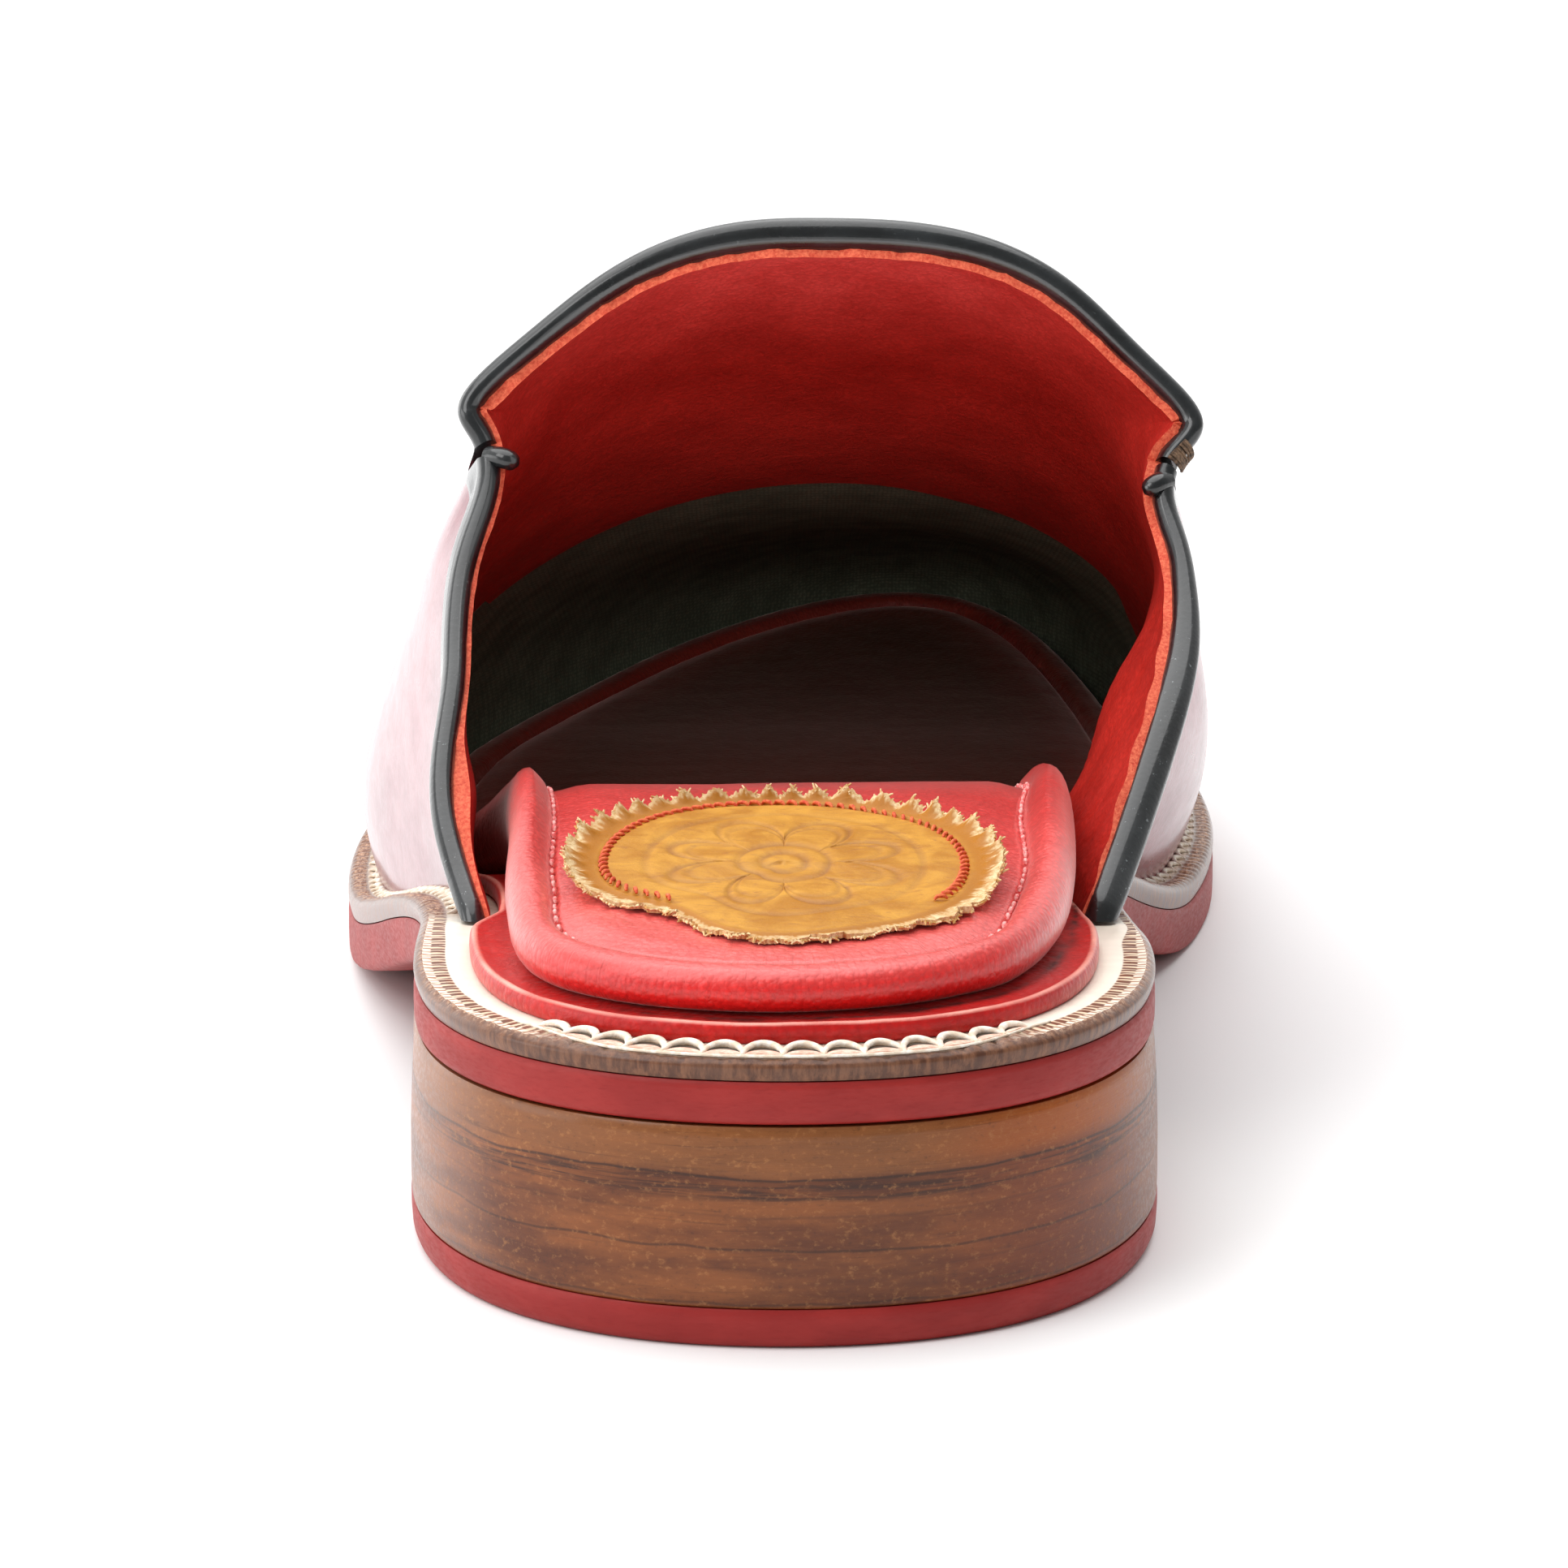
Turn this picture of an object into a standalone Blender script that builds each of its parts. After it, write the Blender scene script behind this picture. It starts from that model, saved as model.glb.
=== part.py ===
"""A backless slip-on shoe (mule) for the left foot, stacked-heel and welted. Metres, +Z up, toe towards +Y."""

import bmesh
import bpy
import numpy as np

MM = 0.001
SHIFT_X = -0.9
SHIFT_Y = -145.7

# Outer edge of the sole. Minus x is the outer side of the foot, y runs from the heel to the toe.
OUTLINE = [
    # x, y
    (0.0, 0.0), (-14.5, 2.6), (-25.3, 9.8), (-32.5, 21.5), (-35.7, 37.0), (-36.5, 54.0),
    (-39.2, 74.0), (-44.6, 98.0), (-50.3, 124.0), (-53.8, 150.0), (-54.2, 176.0), (-51.2, 202.0),
    (-44.6, 226.0), (-34.2, 250.0), (-19.6, 271.5), (-2.0, 286.0), (16.5, 292.0), (33.0, 287.6),
    (44.6, 274.0), (51.2, 254.0), (54.6, 230.0), (56.1, 204.0), (56.0, 182.0), (53.6, 160.0),
    (48.0, 138.0), (40.4, 115.0), (34.8, 92.0), (33.6, 72.0), (35.2, 54.0), (35.8, 38.0),
    (32.6, 21.5), (25.3, 9.8), (14.5, 2.6),
]
SOLE_LENGTH = 292.0
GAP = 0.25
FOOT_GAP = 0.4
SIDE_GAP = 0.9
LIFT_THICK = 3.7
HEEL_TOP = 20.2
BREAST_Y = 70.0
BREAST_HOLLOW = 2.5
ARCH_START = 42.0
BALL_START = 148.0
BALL_END = 214.0
TOE_SPRING = 11.0
WAIST_TWIST = 4.0
SOLE_THICK_HEEL = 4.0
SOLE_THICK_BALL = 5.5
WELT_THICK_HEEL = 1.9
WELT_THICK_BALL = 2.8
WELT_BEVEL = 1.2
WELT_INSIDE = 11.0
INSOLE_THICK = 1.6
RIM_OFFSET = 4.7
RIM_SIDE = 5.4
WALL = 2.6

PAD_EDGE = 7.0
PAD_SIDE = 8.9
PAD_LEAN = 1.4
ROLL_RISE = 1.9
PAD_TILT = 0.04
PAD_WAIST = 3.7
PAD_TOP = [
    # y, top of the padding above the insole
    (8.0, 3.9), (20.0, 4.6), (40.0, 6.2), (58.0, 8.5), (70.0, 9.5), (82.0, 8.9), (105.0, 6.6), (135.0, 3.6),
    (165.0, 3.0), (290.0, 3.0),
]
PATCH_HALF_WIDTH = 21.4
PATCH_HALF_LENGTH = 22.2
PATCH_Y = 36.8
PATCH_THICK = 1.1

LAST = [
    # y, ridge z, ridge x, bulge out, bulge in, squareness out, squareness in
    (40.0, 117.0, 2.0, 5.4, 11.0, 2.2, 3.0),
    (60.0, 110.0, 2.0, 4.4, 12.4, 2.2, 3.1),
    (80.0, 102.0, 2.0, 1.2, 13.4, 2.15, 3.25),
    (105.0, 92.6, 2.0, 0.9, 12.9, 2.3, 3.05),
    (130.0, 79.5, 3.0, 2.2, 9.0, 2.05, 2.8),
    (160.0, 63.5, 5.5, 3.2, 4.8, 2.0, 2.4),
    (190.0, 51.5, 8.5, 2.4, 2.8, 2.05, 2.3),
    (220.0, 43.5, 11.5, 2.0, 2.2, 2.1, 2.25),
    (250.0, 38.5, 15.0, 1.6, 1.8, 2.2, 2.3),
    (288.0, 35.5, 18.5, 1.2, 1.2, 2.3, 2.4),
]
TOE_ROUND_START = 226.0
TOE_ROUND_POWER = 2.6
TOE_RADIUS = 34.0

QUARTER_EDGE = [
    # z, y of the quarter's edge
    (20.0, 44.0), (26.8, 50.0), (31.0, 56.0), (36.7, 63.5), (44.0, 73.0), (51.8, 83.0), (58.5, 90.5),
    (66.0, 97.5), (80.0, 108.0),
]
NOTCH_Z_OUT = 67.0
NOTCH_Z_IN = 65.0
TONGUE_CORNER_Y = 99.5
TONGUE_APEX_Y = 107.0
TONGUE_POWER = 2.4
FLARE_OUT = 5.0
FLARE_IN = 5.7
FLARE_LIFT = 5.5
FLARE_SPREAD = 7.0
PINCH = 3.3
PINCH_SPREAD = 3.4
PINCH_BELOW_OUT = 8.0
PINCH_BELOW_IN = 5.5
TUCK_OUT = 0.24
TUCK_IN = 0.38
WAIST_IN = 4.6
WAIST_Z = 40.0
WAIST_SPREAD = 9.0
FLARE_FADE = 12.0
BAND = 4.4
NOTCH_DEPTH = 7.0
NOTCH_WIDTH = 0.055
NOTCH_SLIT = 0.012
ROLL_TOP = 0.65
ROLL_SIDE = 0.25
SEAM = 0.4

SOLE_STATIONS = 30
CAP_POINTS = 3
QUARTER_TURNS = 13
TONGUE_TURNS = 27
UPPER_ALONG = 19


def ramp(y, start, end):
    """Smooth step from 0 to 1 between start and end."""
    t = np.clip((np.asarray(y, float) - start) / (end - start), 0.0, 1.0)
    return t * t * (3.0 - 2.0 * t)


def table(rows, y, column=1):
    """Value at y of one column of a short table, by a monotone cubic through its rows."""
    rows = np.array(rows, float)
    x = rows[:, 0]
    v = rows[:, column]
    h = np.diff(x)
    d = np.diff(v) / h
    m = np.zeros(len(x))
    m[0] = d[0]
    m[-1] = d[-1]
    both = d[1:] * d[:-1] > 0
    w1 = 2.0 * h[1:] + h[:-1]
    w2 = h[1:] + 2.0 * h[:-1]
    last = np.where(both, d[:-1], 1.0)
    following = np.where(both, d[1:], 1.0)
    m[1:-1] = np.where(both, (w1 + w2) / (w1 / last + w2 / following), 0.0)
    y = np.clip(np.asarray(y, float), x[0], x[-1])
    k = np.clip(np.searchsorted(x, y, side="right") - 1, 0, len(x) - 2)
    s = (y - x[k]) / h[k]
    rise = (2.0 * s**3 - 3.0 * s**2 + 1.0) * v[k] + (3.0 * s**2 - 2.0 * s**3) * v[k + 1]
    return rise + (s**3 - 2.0 * s**2 + s) * h[k] * m[k] + (s**3 - s**2) * h[k] * m[k + 1]


def closed_spline(points, count):
    """Periodic cubic spline through the points, by chord length."""
    p = np.array(points, float)
    n = len(p)
    step = np.linalg.norm(np.roll(p, -1, 0) - p, axis=1)
    knots = np.concatenate([[0.0], np.cumsum(step)])
    before = np.roll(step, 1)
    matrix = np.zeros((n, n))
    right = np.zeros((n, 2))
    for i in range(n):
        matrix[i, i - 1] += step[i]
        matrix[i, i] += 2.0 * (before[i] + step[i])
        matrix[i, (i + 1) % n] += before[i]
        slope_next = (p[(i + 1) % n] - p[i]) / step[i]
        slope_last = (p[i] - p[i - 1]) / before[i]
        right[i] = 3.0 * (slope_next * before[i] + slope_last * step[i])
    tangent = np.linalg.solve(matrix, right)
    u = np.linspace(0.0, knots[-1], count, endpoint=False)
    k = np.clip(np.searchsorted(knots, u, side="right") - 1, 0, n - 1)
    s = ((u - knots[k]) / step[k])[:, None]
    h = step[k][:, None]
    after = (k + 1) % n
    curve = (2.0 * s**3 - 3.0 * s**2 + 1.0) * p[k] + (3.0 * s**2 - 2.0 * s**3) * p[after]
    return curve + (s**3 - 2.0 * s**2 + s) * h * tangent[k] + (s**3 - s**2) * h * tangent[after]


EDGE = closed_spline(OUTLINE, 2400)
ALONG = np.roll(EDGE, -1, 0) - np.roll(EDGE, 1, 0)
ALONG = ALONG / np.linalg.norm(ALONG, axis=1)[:, None]
INWARD = np.stack([ALONG[:, 1], -ALONG[:, 0]], 1)
HEEL_INDEX = int(np.argmin(EDGE[:, 1]))
TOE_INDEX = int(np.argmax(EDGE[:, 1]))


def moved_edge(offset):
    """The sole's outline moved inwards by offset, a number or a function of x and y."""
    depth = offset(EDGE[:, 0], EDGE[:, 1]) if callable(offset) else np.full(len(EDGE), float(offset))
    return EDGE + INWARD * depth[:, None]


def two_sides(offset):
    """Outer and inner side of the moved outline, each from the heel to the toe."""
    moved = np.roll(moved_edge(offset), -HEEL_INDEX, 0)
    tip = int(np.argmax(moved[:, 1]))
    return moved[: tip + 1], np.concatenate([moved[tip:], moved[:1]])[::-1]


def bottom(x, y):
    """Underside of the outsole: heel seat, twisted waist, tread flat and toe spring."""
    heel = (HEEL_TOP + GAP) * (1.0 - ramp(y, ARCH_START, BALL_START))
    waist = ramp(y, 50.0, 84.0) * (1.0 - ramp(y, 100.0, BALL_START))
    twist = WAIST_TWIST * waist * np.clip((np.asarray(x, float) + 45.0) / 80.0, 0.0, 1.0)
    lift = np.clip((np.asarray(y, float) - BALL_END) / (SOLE_LENGTH - BALL_END), 0.0, None)
    return heel + twist + TOE_SPRING * lift**2


def sole_top(x, y):
    return bottom(x, y) + SOLE_THICK_HEEL + (SOLE_THICK_BALL - SOLE_THICK_HEEL) * ramp(y, 50.0, 100.0)


def welt_low(x, y):
    return sole_top(x, y) + GAP


def welt_top(x, y):
    thick = WELT_THICK_HEEL + (WELT_THICK_BALL - WELT_THICK_HEEL) * ramp(y, 60.0, 120.0)
    return welt_low(x, y) + thick


def insole_low(x, y):
    return welt_top(x, y) + GAP


def insole_top(x, y):
    return insole_low(x, y) + INSOLE_THICK


def raised(level, rise):
    """The level function with a constant added."""
    return lambda x, y: level(x, y) + rise


def feather_offset(x, y):
    """How far the upper stands in from the edge of the welt, less at the inner waist."""
    inner = np.clip(0.5 + np.asarray(x, float) / 20.0, 0.0, 1.0) * (1.0 - ramp(y, 70.0, 120.0))
    return 4.4 - 0.4 * ramp(y, 60.0, 120.0) + 1.0 * ramp(y, 200.0, 285.0) - 1.9 * inner


def insole_offset(x, y):
    rim = RIM_OFFSET + (RIM_SIDE - RIM_OFFSET) * ramp(y, 5.0, 35.0)
    return rim + (feather_offset(x, y) + WALL + SIDE_GAP - rim) * ramp(y, 40.0, 48.5)


def pad_offset(x, y):
    inner = np.clip(np.asarray(x, float) / 22.0, 0.0, 1.0)
    lean = inner * (PAD_LEAN * (1.0 - ramp(y, 14.0, 34.0)) - PAD_WAIST * np.exp(-(((y - 70.0) / 26.0) ** 2)))
    return PAD_EDGE + (PAD_SIDE - PAD_EDGE) * ramp(y, 10.0, 34.0) + lean + 1.0 * ramp(y, 220.0, 285.0)


FEATHER_OUT, FEATHER_IN = two_sides(feather_offset)
TIP_X = float(FEATHER_OUT[-1, 0])
TIP_Y = float(FEATHER_OUT[-1, 1])


def last_point(t, y):
    """Outside of the upper. t runs from 0 at the outer feather line over the ridge to pi inside."""
    t, y = np.broadcast_arrays(np.asarray(t, float), np.asarray(y, float))
    inner = t > np.pi / 2.0
    foot_out = np.interp(y, FEATHER_OUT[:, 1], FEATHER_OUT[:, 0])
    foot_in = np.interp(y, FEATHER_IN[:, 1], FEATHER_IN[:, 0])
    foot = np.where(inner, foot_in, foot_out)
    base = welt_top(foot, y) + FOOT_GAP
    near = np.clip((y - TOE_ROUND_START) / (TIP_Y - TOE_ROUND_START), 0.0, 1.0)
    close = (1.0 - near**TOE_ROUND_POWER) ** (1.0 / TOE_ROUND_POWER)
    height = (table(LAST, y, 1) - base) * close
    middle = table(LAST, y, 2)
    middle = middle + (TIP_X - middle) * near**2
    bulge = np.where(inner, table(LAST, y, 4), table(LAST, y, 3)) * close
    square = np.where(inner, table(LAST, y, 6), table(LAST, y, 5))
    side = np.abs(np.cos(t)) ** (2.0 / square)
    up = np.abs(np.sin(t)) ** (2.0 / square)
    tuck = bulge * np.clip(1.0 - up / np.where(inner, TUCK_IN, TUCK_OUT), 0.0, 1.0) ** 2
    z = base + height * up
    waist = np.where(inner, WAIST_IN, 0.0) * ramp(y, 80.0, 100.0) * (1.0 - ramp(y, 108.0, 140.0))
    waist = waist * np.exp(-(((z - WAIST_Z) / WAIST_SPREAD) ** 2))
    out = (np.abs(foot - middle) + bulge) * side - tuck - waist
    below = z - np.where(inner, NOTCH_Z_IN, NOTCH_Z_OUT)
    flare = np.where(inner, FLARE_IN, FLARE_OUT) * np.exp(-(((below - FLARE_LIFT) / FLARE_SPREAD) ** 2))
    reach = np.where(below < 0.0, np.where(inner, PINCH_BELOW_IN, PINCH_BELOW_OUT), PINCH_SPREAD)
    pinch = PINCH * np.exp(-((below / reach) ** 2))
    out = out + (flare - pinch) * np.exp(-np.clip(y - TONGUE_CORNER_Y, 0.0, None) / FLARE_FADE)
    return np.stack([np.where(inner, middle + out, middle - out), y, z], -1)


def turn_at(level, inner):
    """The t at which the section through the tongue's corners reaches the height level."""
    t = np.linspace(np.pi / 2.0, np.pi, 2001) if inner else np.linspace(np.pi / 2.0, 0.0, 2001)
    z = last_point(t, TONGUE_CORNER_Y)[:, 2]
    return float(np.interp(-level, -z, t))


NOTCH_OUT = turn_at(NOTCH_Z_OUT, False)
NOTCH_IN = turn_at(NOTCH_Z_IN, True)


def collar(t):
    """y of the topline at t: the tongue between the notches, and the quarters below them."""
    t = np.asarray(t, float)
    y = np.full(t.shape, 80.0)
    for _ in range(30):
        y = 0.5 * y + 0.5 * table(QUARTER_EDGE, last_point(t, y)[..., 2])
    half = np.where(t > np.pi / 2.0, NOTCH_IN - np.pi / 2.0, np.pi / 2.0 - NOTCH_OUT)
    across = np.clip(np.abs(t - np.pi / 2.0) / half, 0.0, 1.0) ** TONGUE_POWER
    tongue = TONGUE_APEX_Y + (TONGUE_CORNER_Y - TONGUE_APEX_Y) * across
    return np.where((t > NOTCH_OUT) & (t < NOTCH_IN), tongue, y)


def seam(t):
    """y where the binding ends: a band along the topline, deeper at each notch."""
    notch = np.exp(-(((t - NOTCH_OUT) / NOTCH_WIDTH) ** 2)) + np.exp(-(((t - NOTCH_IN) / NOTCH_WIDTH) ** 2))
    return collar(t) + BAND + NOTCH_DEPTH * notch


def out_normal(t, y):
    """Outward unit normal of the upper's outside."""
    step_t = 1e-3
    step_y = np.minimum(0.05, 0.2 * np.clip(TIP_Y - y, 1e-3, None))
    t_low = np.clip(t - step_t, 0.0, np.pi)
    t_high = np.clip(t + step_t, 0.0, np.pi)
    round_way = last_point(t_high, y) - last_point(t_low, y)
    along = last_point(t, y + step_y) - last_point(t, y - step_y)
    normal = np.cross(round_way, along)
    size = np.linalg.norm(normal, axis=-1, keepdims=True)
    return normal / np.where(size > 1e-12, size, 1.0)


def wall_point(t, y, depth):
    """A point under the upper's outside by depth. The feather line stays at the height of its base."""
    outer = last_point(t, y)
    normal = out_normal(t, y)
    point = outer - normal * np.asarray(depth, float)[..., None]
    foot = (t < 1e-6) | (t > np.pi - 1e-6)
    flat = normal * np.array([1.0, 1.0, 0.0])
    flat = flat / np.maximum(np.linalg.norm(flat, axis=-1, keepdims=True), 1e-9)
    level = outer - flat * np.asarray(depth, float)[..., None]
    return np.where(foot[..., None], level, point)


def even_turns(count, start, end):
    """Values of t that space the section through the tongue's corners evenly, crowded at the notches."""
    t = np.linspace(start, end, 4001)
    path = last_point(t, TONGUE_CORNER_Y)
    step = np.linalg.norm(np.diff(path, axis=0), axis=1)
    middle = 0.5 * (t[1:] + t[:-1])
    crowd = np.exp(-(((middle - NOTCH_OUT) / 0.09) ** 2)) + np.exp(-(((middle - NOTCH_IN) / 0.09) ** 2))
    total = np.concatenate([[0.0], np.cumsum(step * (1.0 + 2.5 * crowd))])
    return np.interp(np.linspace(0.0, total[-1], count), total, t)


TURNS_OUT = even_turns(QUARTER_TURNS, 0.0, NOTCH_OUT - NOTCH_SLIT)
TURNS_TONGUE = even_turns(TONGUE_TURNS, NOTCH_OUT + NOTCH_SLIT, NOTCH_IN - NOTCH_SLIT)
TURNS_IN = even_turns(QUARTER_TURNS, NOTCH_IN + NOTCH_SLIT, np.pi)


def mesh_object(name, points, faces, colour, roughness):
    """Adds the closed mesh as one named object with its own material."""
    mesh = bpy.data.meshes.new(name)
    shifted = (np.asarray(points, float) + np.array([SHIFT_X, SHIFT_Y, 0.0])) * MM
    mesh.from_pydata([tuple(p) for p in shifted], [], [tuple(int(i) for i in f) for f in faces])
    mesh.validate()
    work = bmesh.new()
    work.from_mesh(mesh)
    bmesh.ops.recalc_face_normals(work, faces=work.faces)
    work.to_mesh(mesh)
    work.free()
    for polygon in mesh.polygons:
        polygon.use_smooth = True
    mesh.set_sharp_from_angle(angle=np.radians(40.0))
    material = bpy.data.materials.new(name)
    material.use_nodes = True
    shader = material.node_tree.nodes["Principled BSDF"]
    shader.inputs["Base Color"].default_value = (*colour, 1.0)
    shader.inputs["Roughness"].default_value = roughness
    mesh.materials.append(material)
    made = bpy.data.objects.new(name, mesh)
    PARTS.objects.link(made)
    return made


def wall_faces(start_a, start_b, count, flip=False):
    """Quads between two closed loops of count points."""
    faces = []
    for i in range(count):
        j = (i + 1) % count
        quad = (start_a + i, start_a + j, start_b + j, start_b + i)
        faces.append(quad[::-1] if flip else quad)
    return faces


def sole_indices(last_y=None):
    """Indices of EDGE on both sides at matching y, from the heel to the toe or to last_y."""
    count = len(EDGE)
    outer = (HEEL_INDEX + np.arange((TOE_INDEX - HEEL_INDEX) % count + 1)) % count
    inner = (HEEL_INDEX - np.arange((HEEL_INDEX - TOE_INDEX) % count + 1)) % count
    if last_y is not None:
        outer = outer[EDGE[outer, 1] <= last_y]
        inner = inner[EDGE[inner, 1] <= last_y]
    step = np.linalg.norm(np.diff(EDGE[outer], axis=0), axis=1)
    path = np.concatenate([[0.0], np.cumsum(step)])
    stations = SOLE_STATIONS if last_y is None else SOLE_STATIONS // 2
    picks = np.searchsorted(path, np.linspace(0.0, path[-1], stations + 1))
    picks = outer[np.clip(picks, 0, len(outer) - 1)]
    order = np.argsort(EDGE[inner, 1])
    match = np.interp(EDGE[picks, 1], EDGE[inner[order], 1], order)
    return picks, inner[np.round(match).astype(int)]


def sole_loop(offset, level, last_y=None):
    """Closed loop round the sole (or the heel, with a hollow breast), and the cap rows across it."""
    outer, inner = sole_indices(last_y)
    depth = offset(EDGE[:, 0], EDGE[:, 1]) if callable(offset) else np.full(len(EDGE), float(offset))
    left = EDGE[outer] + INWARD[outer] * depth[outer][:, None]
    right = EDGE[inner] + INWARD[inner] * depth[inner][:, None]
    rows = []
    for k in range(1, len(left) - (1 if last_y is None else 0)):
        share = np.linspace(0.0, 1.0, CAP_POINTS + 2)[:, None]
        row = left[k] + (right[k] - left[k]) * share
        if last_y is not None and k == len(left) - 1:
            inset = 0.0 if callable(offset) else float(offset)
            row[:, 1] = last_y - inset - BREAST_HOLLOW * (1.0 - (2.0 * share[:, 0] - 1.0) ** 2)
        rows.append(row)
    tips = [left[0]] if last_y is not None else [left[0], left[-1]]
    flat = [tips[0]] + [row[0] for row in rows]
    if last_y is None:
        flat.append(tips[1])
    else:
        flat += list(rows[-1][1:-1])
    flat += [row[-1] for row in rows[::-1]]
    loop = np.array(flat)
    caps = np.array([row[1:-1] for row in rows])
    if last_y is not None:
        caps = caps[:-1]
    loop3 = np.column_stack([loop, level(loop[:, 0], loop[:, 1])])
    caps3 = np.concatenate([caps, level(caps[..., 0], caps[..., 1])[..., None]], -1)
    return loop3, caps3


def cap_faces(loop_start, cap_start, loop_count, row_count, whole):
    """Faces over the inside of a loop. whole means that the loop ends in a toe tip."""
    def row(k):
        left = loop_start + k
        right = loop_start + loop_count - k
        if k == row_count and not whole:
            middle = [loop_start + row_count + 1 + i for i in range(CAP_POINTS)]
        else:
            middle = [cap_start + (k - 1) * CAP_POINTS + i for i in range(CAP_POINTS)]
        return [left, *middle, right]

    faces = []
    first = row(1)
    for i in range(len(first) - 1):
        faces.append((loop_start, first[i], first[i + 1]))
    for k in range(1, row_count):
        a = row(k)
        b = row(k + 1)
        for i in range(len(a) - 1):
            faces.append((a[i], b[i], b[i + 1], a[i + 1]))
    if whole:
        tip = loop_start + row_count + 1
        end = row(row_count)
        for i in range(len(end) - 1):
            faces.append((end[i], tip, end[i + 1]))
    return faces


def slab(name, levels, colour, roughness, last_y=None):
    """Solid through a stack of (offset, level) loops, capped below and above."""
    points = []
    faces = []
    starts = []
    total = 0
    for k, (offset, level) in enumerate(levels):
        loop, caps = sole_loop(offset, level, last_y)
        starts.append(total)
        points.append(loop)
        total += len(loop)
        if k in (0, len(levels) - 1):
            rows = sole_rows(loop, last_y)
            made = cap_faces(starts[-1], total, len(loop), rows, last_y is None)
            faces += made if k == 0 else [f[::-1] for f in made]
            points.append(caps.reshape(-1, 3))
            total += caps.shape[0] * caps.shape[1]
        if k:
            faces += wall_faces(starts[-2], starts[-1], len(loop), True)
    return mesh_object(name, np.concatenate(points), faces, colour, roughness)


def sole_rows(loop, last_y):
    """How many rows run across the loop."""
    if last_y is None:
        return (len(loop) - 2) // 2
    return (len(loop) - 1 - CAP_POINTS) // 2


def ring(name, levels, colour, roughness):
    """Solid ring swept through a closed section of (offset, level) loops."""
    points = []
    faces = []
    loops = [sole_loop(offset, level)[0] for offset, level in levels]
    count = len(loops[0])
    for k, loop in enumerate(loops):
        points.append(loop)
        faces += wall_faces(k * count, ((k + 1) % len(loops)) * count, count, True)
    return mesh_object(name, np.concatenate(points), faces, colour, roughness)


def grid_faces(start, rows, columns, flip=False):
    faces = []
    for i in range(rows - 1):
        for j in range(columns - 1):
            a = start + i * columns + j
            quad = (a, a + 1, a + columns + 1, a + columns)
            faces.append(quad[::-1] if flip else quad)
    return faces


def upper():
    """The shell: outside and inside over t and y, joined along the topline, the feather line and the tip."""
    t = np.concatenate([TURNS_OUT, TURNS_TONGUE, TURNS_IN])
    start = seam(t) + SEAM
    length = TIP_Y - start
    quarter = TOE_RADIUS * np.pi / 2.0
    total = length - TOE_RADIUS + quarter
    share = np.linspace(0.0, 1.0, UPPER_ALONG + 1)[1:]
    path = share[:, None] * total[None, :]
    bend = TOE_RADIUS * (1.0 - np.cos(np.clip(path, 0.0, quarter) / TOE_RADIUS))
    back = bend + np.clip(path - quarter, 0.0, None)
    y = TIP_Y - back
    turns = np.broadcast_to(t, y.shape)
    outer = last_point(turns, y)
    inner = wall_point(turns, y, np.full(y.shape, WALL))
    tip_outer = np.array([[TIP_X, TIP_Y, outer[0, 0, 2]]])
    tip_inner = tip_outer - np.array([[0.0, WALL, 0.0]])
    tip_outer[0, 2] = float(welt_top(TIP_X, TIP_Y)) + FOOT_GAP
    tip_inner[0, 2] = tip_outer[0, 2]
    rows, columns = y.shape
    size = rows * columns
    points = np.concatenate([outer.reshape(-1, 3), inner.reshape(-1, 3), tip_outer, tip_inner])
    faces = grid_faces(0, rows, columns)
    faces += grid_faces(size, rows, columns, True)
    tip_a = 2 * size
    tip_b = 2 * size + 1
    for j in range(columns - 1):
        faces.append((tip_a, j + 1, j))
        faces.append((tip_b, size + j, size + j + 1))
        end = (rows - 1) * columns
        faces.append((end + j, end + j + 1, size + end + j + 1, size + end + j))
    for i in range(rows - 1):
        a = i * columns
        b = (i + 1) * columns
        faces.append((a, b, size + b, size + a))
        a += columns - 1
        b += columns - 1
        faces.append((b, a, size + a, size + b))
    faces.append((tip_a, 0, size, tip_b))
    faces.append((columns - 1, tip_a, tip_b, size + columns - 1))
    return mesh_object("upper", points, faces, (0.55, 0.16, 0.2), 0.3)


def binding(name, t):
    """Rolled edge between the topline and the seam, swept over t through one closed section."""
    count = len(t)
    edge = collar(t)
    width = seam(t) - edge
    proud = ROLL_SIDE + (ROLL_TOP - ROLL_SIDE) * np.clip(np.sin(t), 0.0, 1.0) ** 6
    section = [
        # share of the width from the edge, depth in walls, rolls added
        (1.0, 0.0, -1.0), (0.62, 0.0, -1.0), (0.24, 0.06, -0.8), (0.05, 0.26, 0.0), (0.0, 0.5, 0.0),
        (0.05, 0.74, 0.0), (0.24, 0.94, 0.8), (0.62, 1.0, 1.0), (1.0, 1.0, 1.0),
    ]
    rings = []
    for share, depth, roll in section:
        y = edge + BAND * share if share < 0.5 else edge + BAND * 0.5 + (width - BAND * 0.5) * (share - 0.5) * 2.0
        rings.append(wall_point(t, y, depth * WALL + roll * proud))
    loops = np.stack(rings, 1)
    across = len(section)
    points = loops.reshape(-1, 3)
    faces = []
    for i in range(count - 1):
        faces += wall_faces(i * across, (i + 1) * across, across, True)
    faces.append(tuple(range(across)))
    faces.append(tuple(range((count - 1) * across, count * across))[::-1])
    return mesh_object(name, points, faces, (0.02, 0.024, 0.026), 0.3)


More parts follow.
